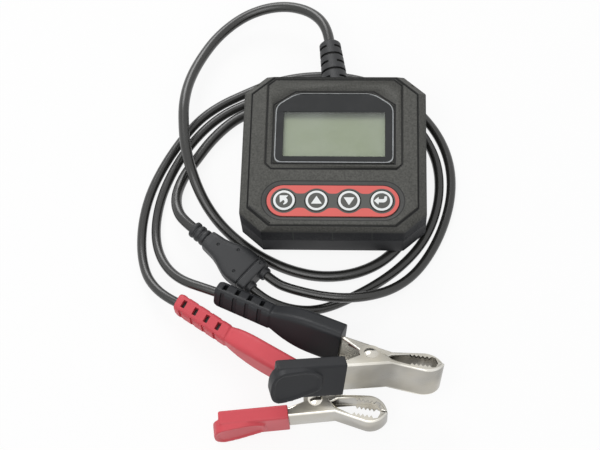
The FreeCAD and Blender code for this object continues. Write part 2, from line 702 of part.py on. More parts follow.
def make_board():
    body = new_body("circuit_board")
    sketch = new_sketch(body, offset="board_height")
    draw_box(sketch, "-board_width / 2", "-board_bottom", "board_width / 2", "board_top")
    for x, y in BOARD_SCREWS:
        draw_circle(sketch, x, y, "board_shank_radius + free_gap")
    extrude(body, "Pad", sketch, "board_thickness")
    keep(body, "circuit_board", at())


def make_switches():
    switches = []
    for x, y in key_places():
        case = block(x, y, BOARD_TOP, "switch_size", "switch_size", "switch_height")
        plunger = solid("Cylinder", x, y, f"{BOARD_TOP} + switch_height", Radius="plunger_radius",
                        Height="plunger_height")
        switches.append(joined(case, plunger))
    group("tact_switches", switches)


def make_components():
    """Chips above the board; load resistor, capacitors and terminal block under it."""
    chips_y = "-(board_screw_bottom + switch_size)"
    chip = block("-chip_x", chips_y, BOARD_TOP, "chip_size", "chip_size", "chip_height")
    small_chip = block("chip_x", chips_y, BOARD_TOP, "small_chip_size", "small_chip_size", "chip_height")
    resistor_floor = "board_height - resistor_height"
    resistor = block("0", "-resistor_y", resistor_floor, "resistor_width", "resistor_length", "resistor_height")
    capacitor_floor = "board_height - capacitor_height"
    capacitors = []
    for side in (-1, 1):
        capacitors.append(solid("Cylinder", f"{side} * capacitor_x", "capacitor_y", capacitor_floor,
                                Radius="capacitor_radius", Height="capacitor_height"))
    group("board_components", [chip, small_chip, resistor] + capacitors)
    terminal = block("0", "terminal_y", "board_height - terminal_height", "terminal_width", "terminal_length",
                     "terminal_height")
    keep(terminal, "terminal_block")


def make_wires():
    """Two straight wires from the gland to the terminal block."""
    start = "(terminal_y + terminal_length / 2)"
    back = "(casing_length / 2 - rear_wall - collar_gap - collar_thickness)"
    wires = []
    for side in (-1, 1):
        wire = solid("Cylinder", f"{side} * wire_spread", start, "board_height - terminal_height / 2",
                     Radius="wire_radius", Height=f"{back} - {start} - wire_radius")
        wire.Placement.Rotation = Rotation(Vector(1, 0, 0), -90)
        wires.append(wire)
    group("supply_wires", wires)


def make_screws(label, places, seat, upward, head_radius, head_height, shank_radius, shank_length):
    """Like screws whose heads bear on one height, with the shank up or down from there."""
    screws = []
    for x, y in places:
        head_floor = f"{seat} - {head_height}" if upward else seat
        shank_floor = seat if upward else f"{seat} - {shank_length}"
        head = solid("Cylinder", x, y, head_floor, Radius=head_radius, Height=head_height)
        shank = solid("Cylinder", x, y, shank_floor, Radius=shank_radius, Height=shank_length)
        screws.append(joined(head, shank))
    group(label, screws)


# Keypad

def key_places():
    return [(f"({number} - 1.5) * key_pitch", "-key_y") for number in range(len(KEYS))]


def make_overlay():
    body = new_body("keypad_overlay")
    sketch = new_sketch(body, offset=KEY_FLOOR)
    draw_slot(sketch, "-key_y", "overlay_length", "overlay_height")
    for x, y in key_places():
        draw_circle(sketch, x, y, "key_radius + key_gap")
    extrude(body, "Pad", sketch, "overlay_thickness")
    keep(body, "keypad_overlay", at())


def make_keys():
    cap_top = f"{KEY_FLOOR} + overlay_thickness + key_proud"
    flange_top = f"{FACE_INSIDE} - inside_gap"
    flange_floor = f"{flange_top} - flange_thickness"
    post_floor = f"{BOARD_TOP} + switch_height + plunger_height + press_gap + key_travel"
    for label, (x, y) in zip(KEYS, key_places()):
        body = new_body(label)
        sketch = new_sketch(body, "XZ_Plane")
        draw_outline(sketch, [
            ("0", post_floor), ("post_radius", post_floor), ("post_radius", flange_floor),
            ("flange_radius", flange_floor), ("flange_radius", flange_top), ("key_radius", flange_top),
            ("key_radius", f"{cap_top} - key_edge"), ("key_radius - key_edge", cap_top), ("0", cap_top)])
        turn(body, sketch)
        keep(body, label, at(size(x), size(y)))


# Strain relief

def make_strain_relief():
    """A tapered sleeve with grooves, the full ones turned, the split ones cut from both sides."""
    body = new_body("strain_relief")
    back = "-(rear_wall + collar_gap + collar_thickness)"
    front = "-(rear_wall + collar_gap)"
    slope = "(relief_base_radius - relief_end_radius) / (relief_end - relief_start)"

    def radius(along):
        return f"relief_base_radius - ({along} - relief_start) * {slope}"

    def groove_edges(number):
        middle = f"(groove_first + {number} * groove_pitch)"
        return f"({middle} - groove_width / 2)", f"({middle} + groove_width / 2)"

    corners = [("0", back), ("collar_radius", back), ("collar_radius", front), ("neck_radius", front),
               ("neck_radius", "relief_start"), ("relief_base_radius", "relief_start")]
    for number in FULL_GROOVES:
        low, high = groove_edges(number)
        corners += [(radius(low), low), (f"{radius(low)} - groove_depth", low),
                    (f"{radius(high)} - groove_depth", high), (radius(high), high)]
    round_start = "(relief_end - relief_round)"
    corners += [(radius(round_start), round_start), ("relief_end_radius - relief_round", "relief_end"),
                ("0", "relief_end")]
    profile = new_sketch(body)
    draw_outline(profile, corners)
    turn(body, profile)
    for side in (-1, 1):
        split = new_sketch(body)
        for number in SPLIT_GROOVES:
            low, high = groove_edges(number)
            inner = f"{side} * ({radius(high)} - groove_depth)"
            outer = f"{side} * (relief_base_radius + groove_depth)"
            draw_outline(split, [(inner, low), (outer, low), (outer, high), (inner, high)])
        groove = body.newObject("PartDesign::Groove", "Groove")
        groove.Profile = split
        groove.ReferenceAxis = (split, ["V_Axis"])
        groove.setExpression("Angle", tied("groove_sweep"))
        groove.Midplane = True
    place = at(0, size("casing_length / 2"), size("relief_height"), Rotation(size("relief_tilt"), 0, 0))
    return keep(body, "strain_relief", place)


# Splitter

def make_splitter():
    """A flat Y piece: ribbed inlet sleeve, spreading body, raised end band and two outlets."""
    body = new_body("cable_splitter")
    halves = [("0", "splitter_start_half"), ("splitter_neck", "splitter_neck_half"),
              ("splitter_shoulder", "splitter_shoulder_half"), ("splitter_length", "splitter_end_half")]
    plan = new_sketch(body)
    low_side = [(x, f"-{half}") for x, half in halves]
    draw_outline(plan, low_side + halves[::-1])
    extrude(body, "Pad", plan, "splitter_depth", "Symmetric")
    soften(body, "Fillet", "splitter_round", "splitter_depth / 2", "-splitter_depth / 2")
    band = new_sketch(body, "YZ_Plane", "splitter_length - band_length")
    band_width = "2 * (splitter_end_half + band_proud)"
    draw_rounded_box(band, "0", "0", band_width, "splitter_depth + 2 * band_proud", "splitter_round")
    extrude(body, "Pad", band, "band_length")
    outlets = new_sketch(body, "YZ_Plane", "splitter_length")
    for side in (-1, 1):
        draw_circle(outlets, f"{side} * outlet_spread", "0", "outlet_radius")
    extrude(body, "Pad", outlets, "outlet_length")
    step = "inlet_length / (2 * inlet_ribs)"
    corners = [("0", "0"), ("-inlet_length", "0")]
    for number in range(int(size("inlet_ribs"))):
        first = f"-inlet_length + {2 * number} * {step}"
        middle = f"-inlet_length + {2 * number + 1} * {step}"
        last = f"-inlet_length + {2 * number + 2} * {step}"
        corners += [(first, "inlet_radius"), (middle, "inlet_radius")]
        corners += [(middle, "inlet_radius + inlet_rib"), (last, "inlet_radius + inlet_rib")]
    inlet = new_sketch(body)
    draw_outline(inlet, corners)
    turn(body, inlet, "H_Axis")
    dimples = new_sketch(body, offset="splitter_depth / 2")
    near_end = "splitter_length - band_length - 4 * dimple_radius"
    for x, y in (("splitter_neck", "0"), ("splitter_shoulder", "splitter_neck_half"),
                 (near_end, "-splitter_neck_half")):
        draw_circle(dimples, x, y, "dimple_radius")
    cut(body, dimples, "dimple_depth")
    return keep(body, "cable_splitter", splitter_place())


def splitter_place():
    x, y = laid(size("splitter_x"), size("splitter_y"))
    return at(x, y, size("splitter_height"), Rotation(size("splitter_turn"), 0, 0))


# Clamps

def on_handle(along, inward):
    """A point of a jaw's handle: distance from the waist and depth from the outer face."""
    x = f"waist_x - ({along}) * cos(handle_slope) - ({inward}) * sin(handle_slope)"
    y = f"waist_y + ({along}) * sin(handle_slope) - ({inward}) * cos(handle_slope)"
    return x, y


def make_jaw(label, side, height, handle, cheek, boot_start, place):
    """A folded jaw: outer web and two cheeks, cut from a full block; side is -1 (thumb) or 1 (cord)."""
    body = new_body(label)
    rim = "bulge_y - rim_depth"
    teeth = [("tooth_start", rim)]
    for number in range(TEETH):
        teeth.append((f"tooth_start - {number + 0.5} * tooth_pitch", f"{rim} - tooth_height"))
        teeth.append((f"tooth_start - {number + 1} * tooth_pitch", rim))
    outer = [on_handle(handle, "0"), ("waist_x", "waist_y"), ("bulge_x", "bulge_y"), ("tip_x", "tip_gap")]
    mouth = [("tip_x - tip_rim", "tip_gap"), ("tip_x - 1.5 * tip_rim", f"{rim} - sheet / 2")]
    ear = [("waist_x", "waist_y - rim_depth"),
           ("ear_radius * cos(ear_front)", "-ear_radius * sin(ear_front)"), ("0", "-ear_radius"),
           ("-ear_radius * cos(ear_back)", "ear_radius * sin(ear_back)")]
    inner = [on_handle(f"{boot_start} - sheet", cheek), on_handle(handle, cheek)]
    corners = outer + mouth + teeth + ear + inner
    first_ear = len(outer + mouth + teeth) + 1
    plan = new_sketch(body)
    ear_round = ("ear_radius", -side)
    rounds = {2: ("tip_radius", -side), first_ear: ear_round, first_ear + 1: ear_round}
    draw_outline(plan, [(x, f"{side} * ({y})") for x, y in corners], rounds)
    extrude(body, "Pad", plan, height, "Symmetric")
    channel_end = on_handle(f"{handle} + 2 * sheet", "sheet")
    far = "-2 * ear_radius"
    hollow = [channel_end, ("waist_x", "waist_y - sheet / cos(handle_slope)"),
              ("bulge_x", "bulge_y - sheet"), ("tip_x - sheet", "tip_gap"), ("tip_x - sheet", far),
              (channel_end[0], far)]
    channel = new_sketch(body)
    draw_outline(channel, [(x, f"{side} * ({y})") for x, y in hollow], {2: ("tip_radius - sheet", -side)})
    cut(body, channel, f"{height} - 2 * sheet", "Symmetric")
    hole = new_sketch(body)
    draw_circle(hole, "0", "0", "rivet_radius + running_gap")
    cut(body, hole, f"2 * {height}", "Symmetric")
    return keep(body, label, place)


def make_rivet(label, place):
    body = new_body(label)
    seat = "jaw_height / 2 + running_gap"
    top = f"{seat} + rivet_head_height"
    dome = "(rivet_head_radius ^ 2 + rivet_head_height ^ 2) / (2 * rivet_head_height)"
    profile = new_sketch(body, "XZ_Plane")
    corners = [("0", f"-({top})"), ("rivet_head_radius", f"-({seat})"), ("rivet_radius", f"-({seat})"),
               ("rivet_radius", seat), ("rivet_head_radius", seat), ("0", top)]
    draw_outline(profile, corners, {0: (dome, 1), 4: (dome, 1)})
    turn(body, profile)
    return keep(body, label, place)


def arc_from(start, tangent, end):
    """The arc that leaves start along tangent and reaches end."""
    chord = end - start
    along = Vector(chord).normalize()
    aside = tangent - along * tangent.dot(along)
    angle = tangent.getAngle(chord)
    middle = (start + end) / 2 + aside.normalize() * chord.Length / 2 * math.tan(angle / 2)
    return Part.Arc(start, middle, end).toShape()


def biarc(start, tangent, end, last_tangent):
    """Two arcs that join two points with their tangents."""
    span = end - start
    both = tangent + last_tangent
    square = 2 * (1 - tangent.dot(last_tangent))
    half = span.dot(both)
    reach = (math.sqrt(half ** 2 + square * span.dot(span)) - half) / square
    middle = (start + tangent * reach + end - last_tangent * reach) / 2
    last = arc_from(end, -last_tangent, middle)
    return [arc_from(start, tangent, middle), last]


def make_spring(label, place):
    """A torsion spring: coil round the rivet and a straight leg along each handle."""
    radius = size("spring_radius")
    rise = size("spring_pitch") / 360
    leg_angle = size("handle_slope + spring_splay")
    last_angle = 90 - leg_angle + 360 * size("spring_turns")
    first_angle = leg_angle - 90
    steps = math.ceil((last_angle - first_angle) / 90)
    lift = -rise * (first_angle + last_angle) / 2

    def coil_point(angle):
        turned = math.radians(angle)
        return Vector(radius * math.cos(turned), radius * math.sin(turned), lift + rise * angle)

    def coil_tangent(angle):
        turned = math.radians(angle)
        climb = rise * 180 / math.pi
        return Vector(-radius * math.sin(turned), radius * math.cos(turned), climb).normalize()

    angles = [first_angle + (last_angle - first_angle) * step / steps for step in range(steps + 1)]
    leg = size("spring_leg")
    start = coil_point(angles[0]) - coil_tangent(angles[0]) * leg
    end = coil_point(angles[-1]) + coil_tangent(angles[-1]) * leg
    edges = [Part.LineSegment(start, coil_point(angles[0])).toShape()]
    for low, high in zip(angles, angles[1:]):
        edges += biarc(coil_point(low), coil_tangent(low), coil_point(high), coil_tangent(high))
    edges.append(Part.LineSegment(coil_point(angles[-1]), end).toShape())
    wire = Part.Wire(Part.__sortEdges__(edges))
    tube = round_tube(wire, start, coil_tangent(angles[0]), size("spring_wire"))
    item = doc.addObject("Part::Feature", label)
    item.Shape = tube
    return keep(item, label, place)


def make_thumb_boot(label, place):
    """A closed sleeve over the handle with a raised thumb rest on its outer face."""
    body = new_body(label)
    middle = "(thumb_boot_outer - thumb_boot_inner) / 2"
    section = new_sketch(body, "YZ_Plane", "thumb_boot_start")
    thickness = "thumb_boot_inner + thumb_boot_outer"
    draw_rounded_box(section, middle, "0", thickness, "boot_height", "thumb_boot_round")
    extrude(body, "Pad", section, "thumb_boot_end - thumb_boot_start")
    rest = new_sketch(body, offset="-boot_height / 2 + thumb_boot_round")
    root = "thumb_boot_outer - boot_gap"
    end = "thumb_boot_end - boot_gap"
    draw_outline(rest, [
        ("rest_start", root), (end, root), (end, f"-({root})"),
        ("rest_end", f"-({root})"), ("rest_end", root), ("rest_top", "rest_height"),
        ("rest_rise", "rest_rise_height")], {4: ("rest_height", 1), 5: ("4 * rest_height", 1)})
    extrude(body, "Pad", rest, "rest_depth")
    socket = new_sketch(body, "YZ_Plane", "thumb_boot_start")
    half_height = "(jaw_height / 2 + boot_gap)"
    draw_box(socket, "-thumb_cheek - boot_gap", f"-{half_height}", "boot_gap", half_height)
    cut(body, socket, "thumb_handle - thumb_boot_start + boot_gap", reverse=True)
    return keep(body, label, place)


def make_cord_boot(label, place):
    """A sleeve that narrows to a slotted relief round the lead."""
    body = new_body(label)

    def section(along, middle, width, height):
        sketch = new_sketch(body, "YZ_Plane", along)
        draw_rounded_box(sketch, middle, "0", width, height, "ladder_round")
        return sketch

    mouth = ("cord_boot_start", "cord_boot_centre", "cord_boot_width", "boot_height")
    waist = ("cord_boot_waist", "cord_boot_waist_centre", "cord_boot_width", "boot_height")
    neck = ("neck_mid", "neck_mid_centre", "neck_mid_width", "neck_mid_height")
    ladder = ("ladder_start", "ladder_start_centre", "ladder_width", "ladder_height")
    tail = ("ladder_end", "ladder_end_centre", "ladder_width", "ladder_height")
    loft(body, "AdditiveLoft", section(*mouth), section(*waist))
    loft(body, "AdditiveLoft", section(*waist), section(*neck), section(*ladder))
    loft(body, "AdditiveLoft", section(*ladder), section(*tail))
    lean = "(ladder_end_centre - ladder_start_centre) / (ladder_end - ladder_start)"
    half_height = "ladder_height / 2"
    for face, backward in ((half_height, False), (f"-{half_height}", True)):
        slots = new_sketch(body, offset=face)
        for number in range(LADDER_SLOTS):
            start = f"slot_first + {number} * slot_pitch"
            middle = f"ladder_start_centre + ({start} - ladder_start) * {lean}"
            low = f"{middle} - slot_width / 2"
            draw_box(slots, start, low, f"{start} + slot_length", f"{low} + slot_width")
        cut(body, slots, "slot_depth", reverse=backward)
    notches = new_sketch(body)
    for number in range(LADDER_SLOTS - 1):
        start = f"slot_first + ({number} + 0.5) * slot_pitch"
        end = f"{start} + slot_length"
        middle = f"(ladder_start_centre + ({start} - ladder_start) * {lean})"
        for side in (-1, 1):
            floor = f"{middle} + {side} * (ladder_width / 2 - notch_depth)"
            edge = f"{middle} + {side} * ladder_width"
            draw_outline(notches, [(start, floor), (end, floor), (end, edge), (start, edge)])
    cut(body, notches, "slot_width", "Symmetric")
    socket = new_sketch(body, "YZ_Plane", "cord_boot_start")
    inner_height = "(jaw_height / 2 - sheet - cheek_gap + boot_gap)"
    draw_box(socket, "-cord_cheek - boot_gap", f"-{inner_height}", "boot_gap", inner_height)
    cut(body, socket, "cord_handle - cord_boot_start + boot_gap", reverse=True)
    return keep(body, label, place)


def handle_frames(place):
    """Frames along the thumb handle and the cord handle: x from the waist, y outwards."""
    slope = size("handle_slope")
    waist_x, waist_y = size("waist_x"), size("waist_y")
    thumb = Placement(Vector(waist_x, -waist_y, 0), Rotation(180 + slope, 0, 0))
    cord = Placement(Vector(waist_x, waist_y, 0), Rotation(180 - slope, 0, 180))
    return place.multiply(thumb), place.multiply(cord)


def make_clamp(colour, place):
    """The six pieces of a clamp; returns the frame of its cord handle."""
    thumb, cord = handle_frames(place)
    inner_height = "(jaw_height - 2 * (sheet + cheek_gap))"
    make_jaw(f"{colour}_cord_jaw", 1, inner_height, "cord_handle", "cord_cheek", "cord_boot_start", place)
    make_jaw(f"{colour}_thumb_jaw", -1, "jaw_height", "thumb_handle", "thumb_cheek", "thumb_boot_start",
             place)
    make_rivet(f"{colour}_pivot_rivet", place)
    make_spring(f"{colour}_spring", place)
    make_thumb_boot(f"{colour}_thumb_boot", thumb)
    make_cord_boot(f"{colour}_cord_boot", cord)
    return cord


# Cords

def round_tube(path, start, direction, radius):
    section = Part.Wire(Part.Circle(start, direction, radius).toShape())
    return path.makePipeShell([section], True, False)


def make_cord(label, points, radius):
    """A tube along straight runs joined by arcs that are as large as the runs allow."""
    edges = []
    radii = []
    here = points[0]
    for before, corner, after in zip(points, points[1:], points[2:]):
        arriving = corner - before
        leaving = after - corner
        bend = arriving.getAngle(leaving)
        reach = BEND_SHARE * min(arriving.Length, leaving.Length)
        radii.append(reach / math.tan(bend / 2))
        entry = corner - arriving.normalize() * reach
        leave = corner + leaving.normalize() * reach
        inward = (leaving - arriving).normalize()
        middle = corner + inward * (math.hypot(radii[-1], reach) - radii[-1])
        edges.append(Part.LineSegment(here, entry).toShape())
        edges.append(Part.Arc(entry, middle, leave).toShape())
        here = leave
    edges.append(Part.LineSegment(here, points[-1]).toShape())
    path = Part.Wire(edges)
    tube = round_tube(path, points[0], points[1] - points[0], radius)
    ratio = tube.Volume / (math.pi * radius ** 2 * path.Length)
    print(f"{label}: length {path.Length:.1f} mm, least radius {min(radii):.1f} mm")
    if abs(ratio - 1) > 0.005:
        raise RuntimeError(f"{label}: the tube's volume is off")
    item = doc.addObject("Part::Feature", label)
    item.Shape = tube
    return keep(item, label)


def route(points, radius):
    return [at(*laid(x, y), lift + radius).Base for x, y, lift in points]


def leaving_points(place, x, y, run):
    """The end of a piece and the next point straight out of it, along its own +x."""
    return [place.multVec(Vector(x, y, 0)), place.multVec(Vector(x + run, y, 0))]


def make_cords(relief, splitter, red_boot, black_boot):
    first_run = size("first_run")
    last_run = size("last_run")
    main_radius = size("main_radius")
    lead_radius = size("lead_radius")
    outlet = size("splitter_length + outlet_length")
    spread = size("outlet_spread")
    tail = (size("ladder_end"), size("ladder_end_centre"))
    sleeve_end = size("relief_end")
    gland = [relief.multVec(Vector(0, along, 0)) for along in (sleeve_end, sleeve_end + first_run)]
    inlet = leaving_points(splitter, -size("inlet_length"), 0, -last_run)
    make_cord("main_cord", gland + route(MAIN_ROUTE, main_radius) + inlet[::-1], main_radius)
    red_start = leaving_points(splitter, outlet, spread, first_run)
    red_end = leaving_points(red_boot, *tail, last_run)
    make_cord("red_lead", red_start + route(RED_ROUTE, lead_radius) + red_end[::-1], lead_radius)
    black_start = leaving_points(splitter, outlet, -spread, first_run)
    black_end = leaving_points(black_boot, *tail, last_run)
    make_cord("black_lead", black_start + route(BLACK_ROUTE, lead_radius) + black_end[::-1], lead_radius)


# Whole part

def build():
    fill_sheet()
    make_rear_cover()
    make_front_cover()
    make_lens()
    make_display()
    make_board()
    make_switches()
    make_components()
    make_wires()
    make_screws("cover_screws", COVER_SCREWS, "casing_lift + counterbore", True, "head_radius",
                "head_height", "shank_radius", "shank_length")
    make_screws("board_screws", BOARD_SCREWS, BOARD_TOP, False, "board_head_radius", "board_head_height",
                "board_shank_radius", "board_shank_length")
    make_overlay()
    make_keys()
    relief = make_strain_relief()
    splitter = make_splitter()
    flat = Rotation(size("red_yaw"), 0, 0)
    red = clamp_place(size("red_x"), size("red_y"), size("boot_height / 2"), flat)
    lean = Rotation(size("black_yaw"), size("black_pitch"), size("black_roll"))
    black = clamp_place(size("black_x"), size("black_y"), size("black_z"), lean)
    red_boot = make_clamp("red", red)
    black_boot = make_clamp("black", black)
    make_cords(relief.Placement, splitter.Placement, red_boot, black_boot)
    doc.recompute()


def check():
    """Every object made without an error, every node a valid shape of solids."""
    for item in doc.Objects:
        if "Invalid" in item.State or "Error" in item.State:
            raise RuntimeError(f"{item.Label}: {item.State}")
    for item in nodes:
        shape = item.Shape
        if shape.isNull() or not shape.isValid() or not shape.Solids:
            raise RuntimeError(f"{item.Label}: no valid shape")


def write():
    os.makedirs("parts", exist_ok=True)
    for item in nodes:
        item.Shape.exportStep(f"parts/{item.Label}.step")
        print(f"{item.Label}: {len(item.Shape.Solids)} solids, {item.Shape.Volume:.0f} mm3")


build()
check()
write()
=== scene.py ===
import json
import math

import bmesh
import bpy
from bpy.props import FloatProperty, FloatVectorProperty, PointerProperty
from mathutils import Matrix, Vector

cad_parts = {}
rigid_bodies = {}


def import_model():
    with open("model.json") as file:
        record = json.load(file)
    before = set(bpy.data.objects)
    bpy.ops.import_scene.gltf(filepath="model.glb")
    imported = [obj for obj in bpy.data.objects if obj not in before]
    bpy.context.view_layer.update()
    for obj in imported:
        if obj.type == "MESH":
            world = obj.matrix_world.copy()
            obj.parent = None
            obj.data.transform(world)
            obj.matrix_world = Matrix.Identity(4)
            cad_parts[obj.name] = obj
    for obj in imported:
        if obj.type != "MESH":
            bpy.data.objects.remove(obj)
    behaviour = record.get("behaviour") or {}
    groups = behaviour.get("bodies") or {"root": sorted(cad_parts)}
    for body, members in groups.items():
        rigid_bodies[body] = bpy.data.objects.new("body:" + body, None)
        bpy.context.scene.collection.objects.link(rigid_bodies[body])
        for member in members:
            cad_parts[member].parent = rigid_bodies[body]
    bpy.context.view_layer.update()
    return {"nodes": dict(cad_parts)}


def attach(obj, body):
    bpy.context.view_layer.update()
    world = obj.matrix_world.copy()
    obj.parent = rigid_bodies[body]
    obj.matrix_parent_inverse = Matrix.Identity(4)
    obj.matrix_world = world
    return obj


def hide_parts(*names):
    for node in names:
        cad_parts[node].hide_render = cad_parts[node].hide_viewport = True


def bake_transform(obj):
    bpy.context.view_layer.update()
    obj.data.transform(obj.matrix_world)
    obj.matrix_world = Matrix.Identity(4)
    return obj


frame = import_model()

bl_info = {
    "name": "Battery tester",
    "version": (1, 0, 0),
    "blender": (4, 5, 0),
    "location": "View3D > Sidebar > Tester",
    "description": "Finishes a battery tester with two clamp leads",
    "category": "Object",
}

MM = 0.001
BODY = "tester"
# Middle of the casing; the sizes below are in millimetres, and plan sizes count from this middle
CASING = Vector((13.4, 53.8, 0)) * MM
# Heights of the flats on the casing's face, of the lens and of the key caps
RECESS, LEDGE, SURROUND, LENS_TOP, CAP_TOP = 35.3, 35.7, 36.0, 36.3, 36.5
# Between these heights the smooth walls, darkened as painted shade, pass into the grained face
WALL_TOP, GRAIN_FOOT = 30.5, 33.5
# Fine upright lines on the front wall: distance, reach to each side, and where the wall begins
MARK_PITCH, MARK_REACH, FRONT_WALL = 21, 30, -45
KEYS = ("key_back", "key_up", "key_down", "key_enter")
KEY_ROW, KEY_PITCH = -30.5, 17.3
# Dark print round the keys: radius of the discs, half the band between them, blend of the two
DISC_RADIUS, BAND_HALF, BAND_BLEND = 7.25, 4.2, 2.2
# The recess round the keys reaches this far to the side of its middle, and up and down
RECESS_REACH = (38.8, 12.2)
# Lens: outline, outline of the print inside the bare edge, window and clear pane
LENS = [(-32.2, -7.7), (32.2, -7.7), (32.2, 27.1), (21.2, 34.8), (-21.2, 34.8), (-32.2, 27.1)]
LENS_PRINT = [(-31.6, -7.1), (31.6, -7.1), (31.6, 26.8), (21, 34.2), (-21, 34.2), (-31.6, 26.8)]
LENS_WINDOW = [(-27.6, -4.0), (27.6, -4.0), (27.6, 23.1), (-27.6, 23.1)]
LENS_PANE = [(-27.5, -3.9), (27.5, -3.9), (27.5, 23.0), (-27.5, 23.0)]
LENS_DEPTH = 1.6
PANE_LOW, PANE_HIGH = 35.6, 36.2
# Soft shade at the upper edge of the display
SHADE_START, SHADE_END = 18.6, 22.9
# Where the strain relief leaves the casing, its direction, its radius there and how fast it narrows
RELIEF_START = Vector((13.39, 100.78, 21.5)) * MM
RELIEF_AXIS = Vector((-math.sin(math.radians(7.9)), math.cos(math.radians(7.9)), 0))
RELIEF_RADIUS, RELIEF_TAPER = 7.56, 0.054

# Control points of the cords, in millimetres
MAIN_CORD = [
    (9.4, 129.5, 21.5), (8.5, 136.5, 21.5), (3.9, 146.3, 20.5), (-4.6, 154.1, 18),
    (-16.6, 158.8, 15), (-30.1, 158.8, 12), (-43.6, 153.8, 9.5), (-56.6, 142.3, 8),
    (-65.6, 126.8, 8.8), (-71.1, 110.3, 12), (-72.9, 94.3, 15.2), (-72.1, 79.3, 15.2),
    (-69.9, 64.3, 15.2), (-65.6, 49.8, 14), (-59.6, 36.8, 8), (-51.1, 25.3, 3.4), (-39.6, 13.8, 3),
    (-25.6, 3.8, 3), (-9.6, -3.7, 3), (7.4, -7.2, 3), (25.4, -5.2, 3), (41.4, 2.8, 3),
    (53.4, 16.8, 3), (58.9, 33.8, 3), (58.4, 51.8, 3), (52.4, 69.8, 3), (41.4, 84.8, 3),
    (25.4, 94.8, 3), (7.4, 99.3, 3), (-10.6, 99.8, 3), (-26.6, 97.8, 3), (-38.6, 93.5, 3),
    (-48.1, 86.8, 3), (-57.9, 75.8, 3), (-65.6, 63.3, 3), (-70.8, 55, 3), (-73.6, 46.8, 4.2),
    (-74.6, 38.3, 7.3), (-73.2, 29.6, 10.6), (-69.5, 22.7, 12), (-63, 17.3, 12),
]
RED_LEAD = [
    (-22, -10, 12), (-16.6, -14.5, 12), (-10.1, -17.5, 12.8), (-1.6, -20, 13.2), (8.4, -22.2, 13.2),
    (21.4, -23.2, 13.2), (34.4, -20.7, 11), (46.4, -14.7, 6), (57.9, -4.7, 2.8), (67.4, 9.3, 2.6),
    (74.4, 25.8, 2.6), (78.4, 43.8, 2.6), (77.9, 61.8, 2.6), (72.4, 78.8, 2.6), (62.4, 93.8, 2.6),
    (48.4, 106.8, 2.6), (30.4, 115.8, 2.6), (10.4, 119.3, 2.6), (-8.6, 118.3, 2.6),
    (-25.6, 113.8, 2.6), (-40.6, 106.3, 2.6), (-53.6, 99.3, 2.6), (-65.6, 89.3, 2.6),
    (-75.6, 74.8, 2.6), (-84.1, 58.8, 2.6), (-90.1, 42.8, 2.6), (-92.9, 26.8, 2.6),
    (-92.9, 11.8, 2.8), (-90.6, -1.2, 4.5), (-86.1, -12.2, 7.5), (-77, -22, 10.5),
    (-69.4, -25.7, 10.5),
]
BLACK_LEAD = [
    (-29, -18.4, 12), (-23.7, -22.9, 12), (-16.4, -26.3, 10.8), (-7.6, -27.8, 7.8),
    (1.9, -27.2, 4.6), (11.9, -24.2, 2.6), (23.4, -18.7, 2.6), (36.4, -11.2, 2.6),
    (49.4, -1.2, 2.6), (60.9, 11.8, 2.6), (68.4, 27.3, 2.6), (71.9, 44.8, 2.6), (70.9, 62.3, 2.6),
    (64.9, 77.8, 2.6), (55.4, 90.8, 2.6), (42.4, 101.8, 2.6), (26.4, 109.3, 2.6), (9.4, 112.5, 2.6),
    (-7.6, 111.5, 2.6), (-23.6, 107.1, 2.6), (-38.6, 100.3, 2.6), (-50.6, 93.8, 2.6),
    (-61.6, 83.8, 2.6), (-71.1, 70.8, 2.6), (-78.6, 55.8, 2.6), (-83.6, 40.8, 2.6),
    (-85.6, 25.8, 2.6), (-84.6, 12.8, 3.6), (-80.6, 1.3, 6.5), (-74.1, -8.2, 10.5),
    (-66.1, -14.7, 14), (-56.1, -18.8, 15.9), (-48.1, -21.7, 16.3),
]

# Frames of the pieces, from the part's origin
SPLITTER_PLACE = CASING + Vector((-68, -43.6, 12)) * MM
SPLITTER = Matrix.Translation(SPLITTER_PLACE) @ Matrix.Rotation(math.radians(-40), 4, "Z")
# On each clamp, the slope of the handles and the waist from which they start
HANDLE_SLOPE = math.radians(16.3)
WAIST = (11, 4.9)
# Thumb rest: where its narrow end starts, its height there and its slope
REST_START, REST_FOOT = 36, 2.9
REST_SLOPE = math.radians(6.2)
# Slots in the cord boots: number, start, distance, length, half width, floor from the middle
SLOTS, SLOT_START, SLOT_PITCH, SLOT_LENGTH, SLOT_HALF, SLOT_FLOOR = 4, 72.5, 7.4, 2.3, 2.2, 3.0
# Middle line of the slotted part: where it starts, its height there and its rise
LADDER_START, LADDER_FOOT, LADDER_RISE = 67, 4.4, 4.2 / 34

# Light of the room at the horizon and overhead
ROOM_LOW, ROOM_HIGH = 0.14, 0.72
# Near the part the floor keeps its shadow; further out, in metres, it is plain white
FLOOR_NEAR, FLOOR_FAR, FLOOR_WHITE = 0.5, 2.5, 0.88


def clamp_frame(pivot, yaw, pitch, roll):
    turn = Matrix.Identity(4)
    for angle, axis in ((yaw, "Z"), (pitch, "Y"), (roll, "X")):
        turn = turn @ Matrix.Rotation(math.radians(angle), 4, axis)
    return Matrix.Translation(Vector(pivot) * MM) @ turn


CLAMPS = {
    "red": clamp_frame((5.9, -80.8, 10.5), -9.76, 0, 0),
    "black": clamp_frame((33.2, -65.8, 28.3), -5.4, 5.5, -29),
}


def handle_frame(clamp, side):
    """Along the handle of side 1, the cord's, or -1, the thumb's: x from the waist, y outwards."""
    waist = Matrix.Translation(Vector((WAIST[0], side * WAIST[1], 0)) * MM)
    along = clamp @ waist @ Matrix.Rotation(math.pi - side * HANDLE_SLOPE, 4, "Z")
    return along @ Matrix.Rotation(math.pi, 4, "X") if side > 0 else along


# Sizes and colours that a user would change

def length(label, words, value):
    return FloatProperty(name=label, description=words, default=value, min=0, unit="LENGTH",
                         precision=5)


